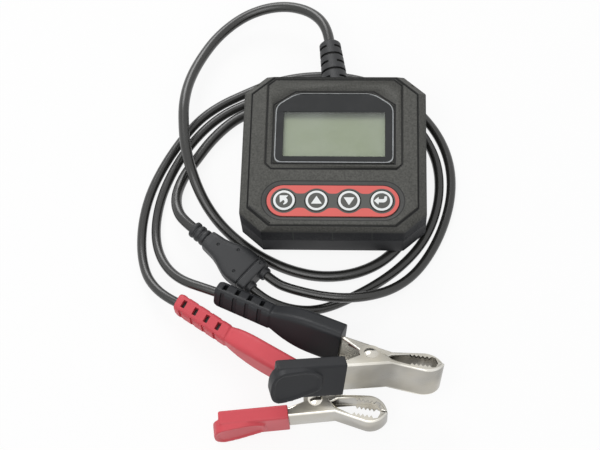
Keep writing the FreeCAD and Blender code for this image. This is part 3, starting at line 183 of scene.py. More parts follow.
def colour(label, words, value):
    return FloatVectorProperty(name=label, description=words, default=value, min=0, max=1, size=3,
                               subtype="COLOR")


class TesterSizes(bpy.types.PropertyGroup):
    main_cord: length("Main cord", "Diameter of the main cord", 0.006)
    lead: length("Lead", "Diameter of each clamp lead", 0.0052)
    casing_edge: length("Casing edge", "Rounding of the casing's edges", 0.0003)
    jaw_edge: length("Jaw edge", "Rounding of the folded sheet metal", 0.0009)
    rubber_step: length("Rubber step", "Fineness of the moulded rubber pieces", 0.0004)
    print_height: length("Print height", "Thickness of the key symbols", 0.00006)


class TesterColours(bpy.types.PropertyGroup):
    casing: colour("Casing", "Grained face of the casing", (0.079, 0.079, 0.0725))
    # Painted shade: the walls and the back take this darker colour
    casing_side_shade: colour("Casing side", "Smoother walls and back", (0.007, 0.0078, 0.0102))
    # Painted shade: the grooves and the faces round them take this colour
    crease_shade: colour("Crease", "Grooves in the casing's face", (0.014, 0.0145, 0.014))
    lens: colour("Lens", "Printed border of the display lens", (0.009, 0.0105, 0.0115))
    display: colour("Display", "Blank display", (0.24, 0.285, 0.178))
    keypad: colour("Keypad", "Keypad face", (0.69, 0.12, 0.105))
    keypad_band: colour("Keypad band", "Band and discs round the keys", (0.075, 0.077, 0.07))
    symbols: colour("Symbols", "Rings and symbols on the keys", (0.82, 0.84, 0.84))
    cord: colour("Cord", "Jacket of the cords", (0.016, 0.016, 0.0145))
    splitter: colour("Splitter", "Splitter and strain relief", (0.021, 0.022, 0.024))
    red_rubber: colour("Red rubber", "Boots of the red clamp", (0.65, 0.08, 0.1))
    black_rubber: colour("Black rubber", "Boots of the black clamp", (0.015, 0.016, 0.0185))
    nickel: colour("Nickel", "Plated jaws", (0.47, 0.455, 0.42))


# Working in the scene

def leave_edit():
    if bpy.context.mode != "OBJECT":
        bpy.ops.object.mode_set(mode="OBJECT")
    bpy.ops.object.select_all(action="DESELECT")


def pick(piece):
    leave_edit()
    piece.select_set(True)
    bpy.context.view_layer.objects.active = piece


def edit(piece):
    pick(piece)
    bpy.ops.object.mode_set(mode="EDIT")
    bpy.ops.mesh.select_all(action="SELECT")


def select_faces(piece, test):
    """Selects, in edit mode, the faces that pass the test."""
    bpy.ops.mesh.select_mode(type="FACE")
    mesh = bmesh.from_edit_mesh(piece.data)
    for face in mesh.faces:
        face.select_set(bool(test(face)))
    bmesh.update_edit_mesh(piece.data)


def give_finish(piece, number):
    """Gives the selected faces the finish in this slot."""
    piece.active_material_index = number
    bpy.ops.object.material_slot_assign()


def paint(piece, test, number):
    """Gives the faces that pass the test the finish in this slot, and stays in edit mode."""
    edit(piece)
    select_faces(piece, test)
    give_finish(piece, number)


def link_new(name, data):
    piece = bpy.data.objects.new(name, data)
    bpy.context.scene.collection.objects.link(piece)
    return piece


def twin(piece, name):
    return link_new(name, piece.data.copy())


def apply_modifier(piece, kind, **settings):
    pick(piece)
    modifier = piece.modifiers.new(kind.title(), kind)
    for name, value in settings.items():
        setattr(modifier, name, value)
    bpy.ops.object.modifier_apply(modifier=modifier.name)


def place(piece, matrix):
    pick(piece)
    piece.matrix_world = matrix
    bpy.ops.object.transform_apply(location=True, rotation=True, scale=True)


def close_up(piece):
    """Merges doubles and points all faces outwards."""
    edit(piece)
    bpy.ops.mesh.remove_doubles(threshold=1e-6)
    bpy.ops.mesh.normals_make_consistent(inside=False)
    leave_edit()


def copy_of(node, name, whole_faces=True):
    """A merged copy of a CAD node, with its flat faces whole again."""
    piece = link_new(name, frame["nodes"][node].data.copy())
    piece.data.materials.clear()
    pick(piece)
    bpy.ops.mesh.customdata_custom_splitnormals_clear()
    edit(piece)
    bpy.ops.mesh.remove_doubles(threshold=1e-6)
    if whole_faces:
        bpy.ops.mesh.dissolve_limited(angle_limit=math.radians(0.5))
    leave_edit()
    return piece


def smooth_faces(piece):
    """Smooth shading that leaves flat faces flat and sharp edges sharp."""
    pick(piece)
    bpy.ops.object.shade_smooth_by_angle(angle=math.radians(35))
    apply_modifier(piece, "WEIGHTED_NORMAL", keep_sharp=True)


def round_edges(piece, width, segments=2, angle=28):
    apply_modifier(piece, "BEVEL", width=width, segments=segments, limit_method="ANGLE",
                   angle_limit=math.radians(angle), use_clamp_overlap=False)
    smooth_faces(piece)


def remould(piece, step, rounds):
    """Makes one soft skin of all that the piece holds."""
    apply_modifier(piece, "REMESH", mode="VOXEL", voxel_size=step)
    apply_modifier(piece, "SMOOTH", factor=0.5, iterations=rounds)
    pick(piece)
    bpy.ops.object.shade_smooth()


def joined(first, *others):
    pick(first)
    for other in others:
        other.select_set(True)
    bpy.ops.object.join()
    return first


def cut(piece, tool):
    apply_modifier(piece, "BOOLEAN", operation="DIFFERENCE", object=tool, solver="EXACT")
    bpy.data.objects.remove(tool)


def settle(piece, body, slot, material, *nodes):
    """Gives a finished piece its finish and its body, and hides the CAD nodes that it stands for."""
    if material:
        piece.data.materials.append(material)
    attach(piece, body)
    if nodes:
        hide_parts(*nodes)


def finish_node(material, *nodes):
    for name in nodes:
        node = frame["nodes"][name]
        node.material_slots[0].material = material


# Shapes

def add_box(name, low, high):
    """A box between two corners, in millimetres."""
    leave_edit()
    low, high = Vector(low) * MM, Vector(high) * MM
    bpy.ops.mesh.primitive_cube_add(size=1, location=(low + high) / 2, scale=high - low)
    piece = bpy.context.object
    piece.name = name
    bpy.ops.object.transform_apply(location=True, rotation=True, scale=True)
    return piece


def add_sections(name, sections, corner, segments=4):
    """A closed body through rounded rectangles across x, each x, y, z, width and height."""
    leave_edit()
    bpy.ops.mesh.primitive_plane_add(size=MM, rotation=(0, math.pi / 2, 0))
    piece = bpy.context.object
    piece.name = name
    bpy.ops.object.transform_apply(location=False, rotation=True, scale=False)
    x, y, z, width, height = sections[0]
    edit(piece)
    bpy.ops.transform.resize(value=(1, width, height), center_override=(0, 0, 0))
    bpy.ops.transform.translate(value=Vector((x, y, z)) * MM)
    bpy.ops.mesh.bevel(offset=corner * MM, segments=segments, affect="VERTICES")
    here = Vector((x, y, z))
    for x, y, z, next_width, next_height in sections[1:]:
        there = Vector((x, y, z))
        bpy.ops.mesh.extrude_region_move(TRANSFORM_OT_translate={"value": (there - here) * MM})
        bpy.ops.transform.resize(value=(1, next_width / width, next_height / height),
                                 center_override=there * MM)
        here, width, height = there, next_width, next_height
    close_up(piece)
    return piece


def draw_lines(name, lines, closed, thickness=0.0):
    """Lines through points x, y in millimetres, made a mesh; closed ones are filled."""
    leave_edit()
    drawing = bpy.data.curves.new(name, "CURVE")
    drawing.dimensions = "2D" if closed else "3D"
    if closed:
        drawing.fill_mode = "BOTH"
    drawing.extrude = thickness / 2 * MM
    for points in lines:
        spline = drawing.splines.new("POLY")
        spline.points.add(len(points) - 1)
        for point, (x, y) in zip(spline.points, points):
            point.co = (x * MM, y * MM, 0, 1)
        spline.use_cyclic_u = closed
    pick(link_new(name, drawing))
    bpy.ops.object.convert(target="MESH")
    return bpy.context.object


def add_turned(name, profile, steps=64):
    """A body turned round x from points x, radius, both ends on the axis."""
    piece = draw_lines(name, [profile], closed=False)
    edit(piece)
    bpy.ops.mesh.spin(steps=steps, angle=2 * math.pi, center=(0, 0, 0), axis=(1, 0, 0))
    close_up(piece)
    return piece


def add_flat(name, outline, low, high, *holes):
    """A plate between two heights with the given outline and holes, in millimetres."""
    piece = draw_lines(name, (outline,) + holes, closed=True, thickness=high - low)
    place(piece, Matrix.Translation((0, 0, (low + high) / 2 * MM)))
    close_up(piece)
    return piece


def rounded(corners, radius, steps=4):
    """The outline with its corners rounded."""
    points = []
    corners = [Vector(corner) for corner in corners]
    for number, corner in enumerate(corners):
        before = corners[number - 1] - corner
        after = corners[(number + 1) % len(corners)] - corner
        reach = min(radius, before.length * 0.45, after.length * 0.45)
        start = corner + before.normalized() * reach
        end = corner + after.normalized() * reach
        for step in range(steps + 1):
            share = step / steps
            low, high = start.lerp(corner, share), corner.lerp(end, share)
            points.append(tuple(low.lerp(high, share)))
    return points


def ring(radius, steps=72):
    turns = [2 * math.pi * step / steps for step in range(steps)]
    return [(radius * math.cos(turn), radius * math.sin(turn)) for turn in turns]


# Materials

def feed(tree, node, inputs):
    """Gives a node its inputs, each a value or the socket that feeds it."""
    for key, value in inputs.items():
        if isinstance(value, bpy.types.NodeSocket):
            tree.links.new(value, node.inputs[key])
        else:
            node.inputs[key].default_value = value


def put(tree, kind, inputs=None, **settings):
    """Adds a shader node."""
    node = tree.nodes.new(f"ShaderNode{kind}")
    for name, value in settings.items():
        setattr(node, name, value)
    feed(tree, node, inputs or {})
    return node


def find(tree, kind):
    return next(node for node in tree.nodes if node.type == kind)


def calc(tree, operation, *values):
    return put(tree, "Math", dict(enumerate(values)), operation=operation).outputs[0]


def tint(tree, factor, first, second, blend="MIX"):
    """Two colours mixed."""
    inputs = {0: factor, 6: first, 7: second}
    return put(tree, "Mix", inputs, data_type="RGBA", blend_type=blend).outputs[2]


def ramp(tree, value, low, high, to_low=0.0, to_high=1.0):
    """A value's range stretched smoothly to another."""
    inputs = {"Value": value, "From Min": low, "From Max": high, "To Min": to_low,
              "To Max": to_high}
    return put(tree, "MapRange", inputs, interpolation_type="SMOOTHSTEP").outputs[0]


def object_point(tree):
    return put(tree, "TexCoord").outputs["Object"]


def point_from(tree, middle):
    """The object's point, counted from a place on it."""
    inputs = {0: object_point(tree), 1: middle}
    return put(tree, "VectorMath", inputs, operation="SUBTRACT").outputs[0]


def length_of(tree, way):
    return put(tree, "VectorMath", {0: way}, operation="LENGTH").outputs["Value"]


def noise(tree, point, scale, detail=3.0, rough=0.55):
    inputs = {"Vector": point, "Scale": scale, "Detail": detail, "Roughness": rough}
    return put(tree, "TexNoise", inputs).outputs["Fac"]


def swing(tree, value, share):
    """How far a value lies from one half, times a share."""
    return calc(tree, "MULTIPLY", calc(tree, "SUBTRACT", value, 0.5), share)


def dimmed(tree, shade, gain):
    """A colour times a number."""
    grey = put(tree, "CombineColor", {0: gain, 1: gain, 2: gain}).outputs[0]
    return tint(tree, 1.0, shade, grey, "MULTIPLY")


def new_group(name, *inputs):
    """A shader group from these inputs to colour, roughness and height."""
    tree = bpy.data.node_groups.new(name, "ShaderNodeTree")
    for way, labels in (("INPUT", inputs), ("OUTPUT", ("Colour", "Roughness", "Height"))):
        for label in labels:
            kind = "NodeSocketColor" if label == "Colour" else "NodeSocketFloat"
            tree.interface.new_socket(label, in_out=way, socket_type=kind)
    return tree, tree.nodes.new("NodeGroupInput").outputs, tree.nodes.new("NodeGroupOutput")


def moulded_group(name):
    """Grain of moulded plastic and rubber: speckle, slow colour drift and worn patches."""
    tree, given, out = new_group(name, "Colour", "Grain", "Speckle", "Drift", "Roughness")
    point = object_point(tree)
    fine = noise(tree, point, given["Grain"], 4.0, 0.65)
    slow = noise(tree, point, calc(tree, "MULTIPLY", given["Grain"], 0.02), 3.0)
    speckle = swing(tree, fine, given["Speckle"])
    drift = swing(tree, slow, given["Drift"])
    gain = calc(tree, "ADD", calc(tree, "ADD", speckle, drift), 1.0)
    worn = swing(tree, slow, -0.25)
    uneven = calc(tree, "ADD", worn, calc(tree, "MULTIPLY", speckle, 0.3))
    rough = calc(tree, "MAXIMUM", calc(tree, "ADD", given["Roughness"], uneven), 0.05)
    rough = calc(tree, "MINIMUM", rough, 1.0)
    shade = dimmed(tree, given["Colour"], gain)
    feed(tree, out, {"Colour": shade, "Roughness": rough, "Height": fine})
    return tree


def plated_group(name):
    """Plated sheet metal: fine drawn lines, cloudy patches, darker patches painted as reflections of
    the surroundings, and a warm drift.
    """
    tree, given, out = new_group(name, "Colour", "Roughness", "Lines")
    point = object_point(tree)
    drawn = put(tree, "Mapping", {"Vector": point, "Scale": (0.06, 1.0, 1.0)}).outputs[0]
    lines = noise(tree, drawn, given["Lines"], 3.0, 0.6)
    cloud = noise(tree, point, 55.0, 3.0)
    warm = ramp(tree, cloud, 0.35, 0.7, 0.0, 0.55)
    yellowed = tint(tree, 1.0, given["Colour"], (1.0, 0.95, 0.84, 1), "MULTIPLY")
    toned = tint(tree, warm, given["Colour"], yellowed)
    # Painted reflection: soft darker patches stand for reflections of the surroundings
    reflection_patches = ramp(tree, noise(tree, point, 38.0, 2.0), 0.36, 0.62, 0.66, 1.0)
    streak = calc(tree, "ADD", 0.93, calc(tree, "MULTIPLY", lines, 0.14))
    shade = dimmed(tree, toned, calc(tree, "MULTIPLY", reflection_patches, streak))
    uneven = calc(tree, "ADD", swing(tree, cloud, 0.16), swing(tree, lines, 0.12))
    rough = calc(tree, "ADD", given["Roughness"], uneven)
    feed(tree, out, {"Colour": shade, "Roughness": rough, "Height": lines})
    return tree


def use_group(tree, make, name, values):
    """The outputs of a shared group, made at its first use, with these values."""
    group = bpy.data.node_groups.get(name) or make(name)
    return put(tree, "Group", values, node_tree=group).outputs


def new_material(name):
    material = bpy.data.materials.new(name)
    material.use_nodes = True
    tree = material.node_tree
    return material, tree, find(tree, "BSDF_PRINCIPLED")


def full(shade):
    return (*shade, 1)


def wear(tree, shader, skin, strength, distance, height=None):
    """Feeds a group's colour, roughness and height, or another height, to the shader."""
    values = {"Height": height or skin["Height"], "Strength": strength, "Distance": distance}
    feed(tree, shader, {"Base Color": skin["Colour"], "Roughness": skin["Roughness"],
                        "Normal": put(tree, "Bump", values).outputs[0]})


def grained(tree, shade, grain, speckle, drift, roughness):
    """The outputs of the moulded grain with these values."""
    values = {"Colour": shade, "Grain": grain, "Speckle": speckle, "Drift": drift,
              "Roughness": roughness}
    return use_group(tree, moulded_group, "Moulded grain", values)


def moulded(name, shade, grain, roughness, strength=0.3, speckle=0.25, drift=0.2, distance=0.0001,
            coat=0.0, shine=0.5):
    """Moulded plastic or rubber."""
    material, tree, shader = new_material(name)
    skin = grained(tree, full(shade), grain, speckle, drift, roughness)
    wear(tree, shader, skin, strength, distance)
    feed(tree, shader, {"Coat Weight": coat, "Coat Roughness": 0.2, "Specular IOR Level": shine})
    return material


def plated(name, shade, roughness, lines=900.0, strength=0.08):
    """Plated metal."""
    material, tree, shader = new_material(name)
    values = {"Colour": full(shade), "Roughness": roughness, "Lines": lines}
    skin = use_group(tree, plated_group, "Plated metal", values)
    wear(tree, shader, skin, strength, 0.00003)
    feed(tree, shader, {"Metallic": 1.0})
    return material


def casing_material(colours):
    """Coarse grain on the face; smoother walls below it, darkened as painted shade."""
    material, tree, shader = new_material("casing_grain")
    across, along, height = put(tree, "SeparateXYZ", {0: object_point(tree)}).outputs
    face = ramp(tree, height, WALL_TOP * MM, GRAIN_FOOT * MM)
    # Painted shade: below the grained face the walls take the darker side colour
    shade = tint(tree, face, full(colours.casing_side_shade), full(colours.casing))
    from_middle = calc(tree, "SUBTRACT", across, CASING.x)
    half = MARK_PITCH / 2 * MM
    near = calc(tree, "ABSOLUTE", calc(tree, "WRAP", from_middle, half, -half))
    line = ramp(tree, near, 0.45 * MM, 0.1 * MM)
    line = calc(tree, "MULTIPLY", line, calc(tree, "SUBTRACT", 1.0, face))
    in_front = calc(tree, "LESS_THAN", along, CASING.y + FRONT_WALL * MM)
    in_reach = calc(tree, "LESS_THAN", calc(tree, "ABSOLUTE", from_middle), MARK_REACH * MM)
    line = calc(tree, "MULTIPLY", calc(tree, "MULTIPLY", line, in_front), in_reach)
    shade = tint(tree, calc(tree, "MULTIPLY", line, 0.3), shade, full(colours.casing))
    skin = grained(tree, shade, grain=1000.0, speckle=2.2, drift=0.25, roughness=0.6)
    deeper = calc(tree, "ADD", 0.25, calc(tree, "MULTIPLY", face, 0.75))
    depth = calc(tree, "MULTIPLY", skin["Height"], deeper)
    wear(tree, shader, skin, 0.55, 0.00025, depth)
    feed(tree, shader, {"Specular IOR Level": 0.25})
    return material


def relief_material(colours):
    """Rubber sleeve, with painted shade in its grooves."""
    material, tree, shader = new_material("sleeve_rubber")
    from_wall = point_from(tree, RELIEF_START)
    pair = {0: from_wall, 1: RELIEF_AXIS}
    along = put(tree, "VectorMath", pair, operation="DOT_PRODUCT").outputs["Value"]
    aside = put(tree, "VectorMath", pair, operation="CROSS_PRODUCT").outputs[0]
    narrowing = calc(tree, "MULTIPLY", along, RELIEF_TAPER)
    skin_radius = calc(tree, "SUBTRACT", RELIEF_RADIUS * MM, narrowing)
    sunk = calc(tree, "SUBTRACT", skin_radius, length_of(tree, aside))
    # Painted shade: the sleeve is darkened towards black where it is sunk into its grooves
    dark = ramp(tree, sunk, 0.02 * MM, 0.2 * MM)
    shade = tint(tree, dark, full(colours.splitter), (0.004, 0.004, 0.004, 1))
    skin = grained(tree, shade, grain=1500.0, speckle=0.3, drift=0.2, roughness=0.5)
    wear(tree, shader, skin, 0.3, 0.0001)
    return material


def overlay_material(colours):
    """Red face with a dark band that swells to a disc round each key."""
    material, tree, shader = new_material("keypad_print")
    point = point_from(tree, CASING + Vector((0, KEY_ROW, 0)) * MM)
    place_x, place_y, _ = put(tree, "SeparateXYZ", {0: point}).outputs
    half = KEY_PITCH / 2 * MM
    near_x = calc(tree, "WRAP", place_x, 2 * half, 0.0)
    near_x = calc(tree, "SUBTRACT", near_x, half)
    flat = put(tree, "CombineXYZ", {0: near_x, 1: place_y, 2: 0.0}).outputs[0]
    disc = calc(tree, "SUBTRACT", length_of(tree, flat), DISC_RADIUS * MM)
    band_y = calc(tree, "SUBTRACT", calc(tree, "ABSOLUTE", place_y), BAND_HALF * MM)
    band_x = calc(tree, "SUBTRACT", calc(tree, "ABSOLUTE", place_x), 3 * half)
    band = calc(tree, "MAXIMUM", band_y, band_x)
    edge = calc(tree, "SMOOTH_MIN", disc, band, BAND_BLEND * MM)
    dark = ramp(tree, edge, 0.08 * MM, -0.08 * MM)
    shade = tint(tree, dark, full(colours.keypad), full(colours.keypad_band))
    skin = grained(tree, shade, grain=2600.0, speckle=0.12, drift=0.12, roughness=0.45)
    wear(tree, shader, skin, 0.15, 0.00005)
    return material


def display_material(colours):
    """Blank reflective display: fine pixel rows, soft shade at the upper edge."""
    material, tree, shader = new_material("display")
    _, along, _ = put(tree, "SeparateXYZ", {0: point_from(tree, CASING)}).outputs
    top = ramp(tree, along, SHADE_START * MM, SHADE_END * MM)
    point = object_point(tree)
    cloud = noise(tree, point, 60.0, 2.0)
    waves = {"Vector": point, "Scale": 900.0}
    rows = put(tree, "TexWave", waves, bands_direction="Y").outputs["Fac"]
    shade = full(colours.display)
    for value, share, other in ((top, 0.9, (0.07, 0.08, 0.065, 1)),
                                (cloud, 0.12, (0.42, 0.46, 0.34, 1)),
                                (rows, 0.04, (0.2, 0.24, 0.16, 1))):
        shade = tint(tree, calc(tree, "MULTIPLY", value, share), shade, other)
    feed(tree, shader, {"Base Color": shade, "Roughness": 0.35})
    return material


def lens_material(colours):
    """Black print behind a clear glossy face with a few wipe marks."""
    material, tree, shader = new_material("lens_print")
    cloud = noise(tree, object_point(tree), 120.0, 4.0)
    wiped = ramp(tree, cloud, 0.4, 0.75, 0.0, 0.35)
    shade = tint(tree, wiped, full(colours.lens), (0.02, 0.021, 0.023, 1))
    rough = ramp(tree, cloud, 0.3, 0.8, 0.06, 0.2)
    feed(tree, shader, {"Base Color": shade, "Roughness": rough})
    return material


def pane_material():
    """Clear window of the lens."""
    material, tree, shader = new_material("lens_pane")
    smear = noise(tree, object_point(tree), 45.0, 3.0)
    feed(tree, shader, {"Base Color": (0.75, 0.8, 0.75, 1),
                        "Roughness": ramp(tree, smear, 0.3, 0.8, 0.05, 0.12),
                        "Alpha": ramp(tree, smear, 0.3, 0.8, 0.05, 0.11)})
    return material


def rim_highlight_material():
    """Bare clear edge round the print of the lens, painted light grey as a highlight."""
    material, tree, shader = new_material("lens_rim_highlight")
    glint = noise(tree, object_point(tree), 400.0)
    # Painted highlight, with painted glints along the edge
    shade = tint(tree, glint, (0.26, 0.27, 0.28, 1), (0.56, 0.58, 0.59, 1))
    rough = ramp(tree, glint, 0.3, 0.7, 0.12, 0.3)
    feed(tree, shader, {"Base Color": shade, "Roughness": rough})
    return material


def seen(tree):
    """1 for what the camera, gloss and glass see, and 0 for other light."""
    path = put(tree, "LightPath").outputs
    direct = calc(tree, "MAXIMUM", path["Is Camera Ray"], path["Is Glossy Ray"])
    return calc(tree, "MAXIMUM", direct, path["Is Transmission Ray"])


def camera_white(tree, shader_output, strength):
    """Mixes plain white light into what is seen of a surface."""
    white = put(tree, "Emission", {"Color": (1, 1, 1, 1), "Strength": 1.0})
    share = calc(tree, "MULTIPLY", seen(tree), strength)
    return put(tree, "MixShader", {0: share, 1: shader_output, 2: white.outputs[0]}).outputs[0]


# Operators

def sizes():
    return bpy.context.scene.tester_sizes


def colours():
    return bpy.context.scene.tester_colours


class TESTER_OT_stage(bpy.types.Operator):
    """Pale floor, soft light and the camera"""
    bl_idname = "tester.stage"
    bl_label = "Stage"

    def execute(self, context):
        scene = context.scene
        scene.view_settings.view_transform = "Standard"
        leave_edit()
        bpy.ops.mesh.primitive_plane_add(size=6, location=(0, 0, -0.0002))
        floor = context.object
        floor.name = "floor"
        material, tree, shader = new_material("floor")
        feed(tree, shader, {"Base Color": (0.92, 0.92, 0.92, 1), "Roughness": 0.9,
                            "Specular IOR Level": 0.1})
        away = length_of(tree, object_point(tree))
        white = ramp(tree, away, FLOOR_NEAR, FLOOR_FAR, FLOOR_WHITE, 1.0)
        surface = camera_white(tree, shader.outputs[0], white)
        feed(tree, find(tree, "OUTPUT_MATERIAL"), {"Surface": surface})
        floor.data.materials.append(material)
        self.light_world(scene)
        self.add_lamp("behind", (-0.35, 1.25, 0.95), (0, 0.02, 0), span=0.8, power=9.0)
        self.add_lamp("overhead", (-0.3, -0.5, 1.2), (0, 0, 0), span=0.9, power=5.5)
        self.add_camera(scene)
        return {"FINISHED"}

    def light_world(self, scene):
        world = bpy.data.worlds.new("studio")
        scene.world = world
        world.use_nodes = True
        tree = world.node_tree
        way = put(tree, "TexCoord").outputs["Generated"]
        upward = put(tree, "SeparateXYZ", {0: way}).outputs[2]
        room = ramp(tree, upward, 0.0, 1.0, ROOM_LOW, ROOM_HIGH)
        strength = calc(tree, "MAXIMUM", room, seen(tree))
        feed(tree, find(tree, "BACKGROUND"), {"Color": (1, 1, 1, 1), "Strength": strength})

    def add_lamp(self, name, spot, target, span, power):
        lamp = bpy.data.lights.new(name, "AREA")
        lamp.size = span
        lamp.energy = power
        piece = link_new(name, lamp)
        piece.location = spot
        piece.rotation_euler = (Vector(target) - Vector(spot)).to_track_quat("-Z", "Y").to_euler()

    def add_camera(self, scene):
        view = bpy.data.cameras.new("camera")
        view.lens = 86.5
        view.sensor_width = 36
        piece = link_new("camera", view)
        across = Vector((0.9987, 0.0274, -0.0423)).normalized()
        forward = Vector((-0.0498, 0.4117, -0.91)).normalized()
        upward = across.cross(forward)
        turn = Matrix((across, upward, -forward)).transposed().to_4x4()
        piece.matrix_world = Matrix.Translation((0.03426, -0.30395, 0.72797)) @ turn
        scene.camera = piece


class TESTER_OT_cords(bpy.types.Operator):
    """Main cord and the two clamp leads"""
    bl_idname = "tester.cords"
    bl_label = "Cords"

    def execute(self, context):
        jacket = moulded("cord_jacket", colours().cord, grain=900.0, roughness=0.3, strength=0.12,
                         speckle=0.15, drift=0.3, distance=0.00006, coat=0.4)
        self.add_cord("main_cord", MAIN_CORD, sizes().main_cord, jacket, "main_cord")
        self.add_cord("red_lead", RED_LEAD, sizes().lead, jacket, "lead")
        self.add_cord("black_lead", BLACK_LEAD, sizes().lead, jacket, "lead")
        return {"FINISHED"}

    def add_cord(self, node, route, thickness, material, slot):
        name = f"{node}_line"
        line = bpy.data.curves.new(name, "CURVE")
        line.dimensions = "3D"
        line.bevel_depth = thickness / 2
        line.bevel_resolution = 6
        line.use_fill_caps = True
        spline = line.splines.new("NURBS")
        spline.points.add(len(route) - 1)
        for point, spot in zip(spline.points, route):
            point.co = (*(Vector(spot) * MM), 1)
        spline.order_u = 3
        spline.use_endpoint_u = True
        spline.resolution_u = 10
        spline.use_smooth = True
        settle(link_new(name, line), BODY, slot, material, node)


class TESTER_OT_casing(bpy.types.Operator):
    """Front and rear cover of the casing"""
    bl_idname = "tester.casing"
    bl_label = "Casing"

    def execute(self, context):
        front = copy_of("front_cover", "front_cover_skin")
        round_edges(front, sizes().casing_edge, 2)
        for finish in (casing_material(colours()),
                       moulded("casing_crease_shade", colours().crease_shade, grain=1300.0, roughness=0.7),
                       moulded("casing_dish_shade", (0.05, 0.051, 0.049), grain=1100.0, roughness=0.6,
                               strength=0.4, speckle=0.8)):
            front.data.materials.append(finish)
        self.groove(front, LEDGE, border=0, depth=0.7, spread=2)
        self.groove(front, SURROUND, border=1.0, depth=0.7, spread=1)
        self.paint_dish_shade(front)
        settle(front, BODY, "casing", None, "front_cover")
        rear = copy_of("rear_cover", "rear_cover_skin")
        round_edges(rear, sizes().casing_edge, 2)
        # The rear cover takes the walls' colour, darkened as painted shade
        satin = moulded("casing_back", colours().casing_side_shade, grain=1300.0, roughness=0.55,
                        speckle=0.4, drift=0.25)
        settle(rear, BODY, "casing_rear", satin, "rear_cover")
        return {"FINISHED"}

    def groove(self, piece, height, border, depth, spread):
        """Sinks the faces at this height, or a border of them, into a groove, and paints it and the
        faces round it with the crease colour as painted shade.
        """
        def level(face):
            return all(abs(corner.co.z / MM - height) < 0.02 for corner in face.verts)

        edit(piece)
        select_faces(piece, level)
        if border:
            bpy.ops.mesh.inset(thickness=border * MM)
            select_faces(piece, lambda face: level(face) and not face.select)
        bpy.ops.mesh.inset(thickness=0.05 * MM)
        bpy.ops.transform.translate(value=(0, 0, -depth * MM))
        for _ in range(spread):
            bpy.ops.mesh.select_more()
        # Painted shade in the groove and on the faces round it
        give_finish(piece, 1)
        leave_edit()

    def paint_dish_shade(self, piece):
        """Paints shade on the sloping wall of the recess round the keypad."""
        def sloping(face):
            x, y, z = (face.calc_center_median() - CASING) / MM
            within = abs(x) < RECESS_REACH[0] and abs(y - KEY_ROW) < RECESS_REACH[1]
            return within and RECESS + 0.02 < z < CAP_TOP - 0.02

        # Painted shade: the crease colour on the sloping wall
        paint(piece, sloping, 1)
        # A lighter painted shade inset in the middle of the sloping wall
        bpy.ops.mesh.inset(thickness=0.6 * MM, depth=0.12 * MM)
        give_finish(piece, 2)
        leave_edit()


class TESTER_OT_display(bpy.types.Operator):
    """Display lens with its clear window, and the display behind it"""
    bl_idname = "tester.display"
    bl_label = "Display"

    def execute(self, context):
        outside, inside = rounded(LENS, 4, 6), rounded(LENS_PRINT, 3.7, 6)
        low = LENS_TOP - LENS_DEPTH
        border = add_flat("lens_border", inside, low, LENS_TOP, LENS_WINDOW)
        rim = add_flat("lens_rim_highlight", outside, low, LENS_TOP, inside)
        pane = add_flat("lens_pane", rounded(LENS_PANE, 0.3), PANE_LOW, PANE_HIGH)
        for piece in (border, rim):
            round_edges(piece, 0.2 * MM, 1, 60)
            bpy.ops.object.shade_flat()
        for piece in (border, rim, pane):
            place(piece, Matrix.Translation(CASING))
        settle(border, BODY, "lens", lens_material(colours()), "display_lens")
        settle(rim, BODY, "lens", rim_highlight_material())
        settle(pane, BODY, "lens", pane_material())
        finish_node(display_material(colours()), "lcd_panel")
        return {"FINISHED"}


class TESTER_OT_keypad(bpy.types.Operator):
    """Keypad face, key caps, rings and symbols"""
    bl_idname = "tester.keypad"
    bl_label = "Keypad"

    def execute(self, context):
        finish_node(overlay_material(colours()), "keypad_overlay")
        cap = moulded("key_cap", colours().keypad_band, grain=1800.0, roughness=0.5, strength=0.2)
        ink = moulded("key_symbol", colours().symbols, grain=2500.0, roughness=0.5, strength=0.1,
                      speckle=0.06, drift=0.08)
        finish_node(cap, *KEYS)
        triangle = [(-2.9, -1.9), (2.9, -1.9), (0, 2.7)]
        drawings = {
            "key_back": [(-2.4, 2.8), (2.3, 2.8), (1.0, 1.5), (1.9, 0.5), (2.0, -0.9), (1.2, -2.0),
                         (0, -2.6), (-0.5, -2.2), (0.3, -1.4), (0.4, -0.5), (-0.3, 0.2),
                         (-2.1, -1.4)],
            "key_up": triangle,
            "key_down": [(-x, -y) for x, y in triangle],
            "key_enter": [(-4.1, 0), (-1.6, 2.3), (-1.6, 0.95), (0.7, 0.95), (1.4, 1.4), (1.4, 2.6),
                          (2.8, 2.6), (2.8, 0.6), (2.2, -0.5), (1.2, -0.95), (-1.6, -0.95),
                          (-1.6, -2.3)],
        }
        top = CAP_TOP + sizes().print_height / MM
        for number, key in enumerate(KEYS):
            middle = CASING + Vector(((number - 1.5) * KEY_PITCH, KEY_ROW, 0)) * MM
            circle = add_flat(f"{key}_ring", ring(5.74), CAP_TOP - 0.1, top, ring(4.5))
            symbol = add_flat(f"{key}_mark", rounded(drawings[key], 0.35), CAP_TOP - 0.1, top)
            piece = joined(circle, symbol)
            place(piece, Matrix.Translation(middle))
            settle(piece, key, key, ink)
        return {"FINISHED"}


class TESTER_OT_strain_relief(bpy.types.Operator):
    """Grooved sleeve at the casing"""
    bl_idname = "tester.strain_relief"
    bl_label = "Strain relief"

    def execute(self, context):
        piece = copy_of("strain_relief", "strain_relief_sleeve")
        remould(piece, 0.26 * MM, 1)
        settle(piece, BODY, "relief", relief_material(colours()), "strain_relief")
        return {"FINISHED"}


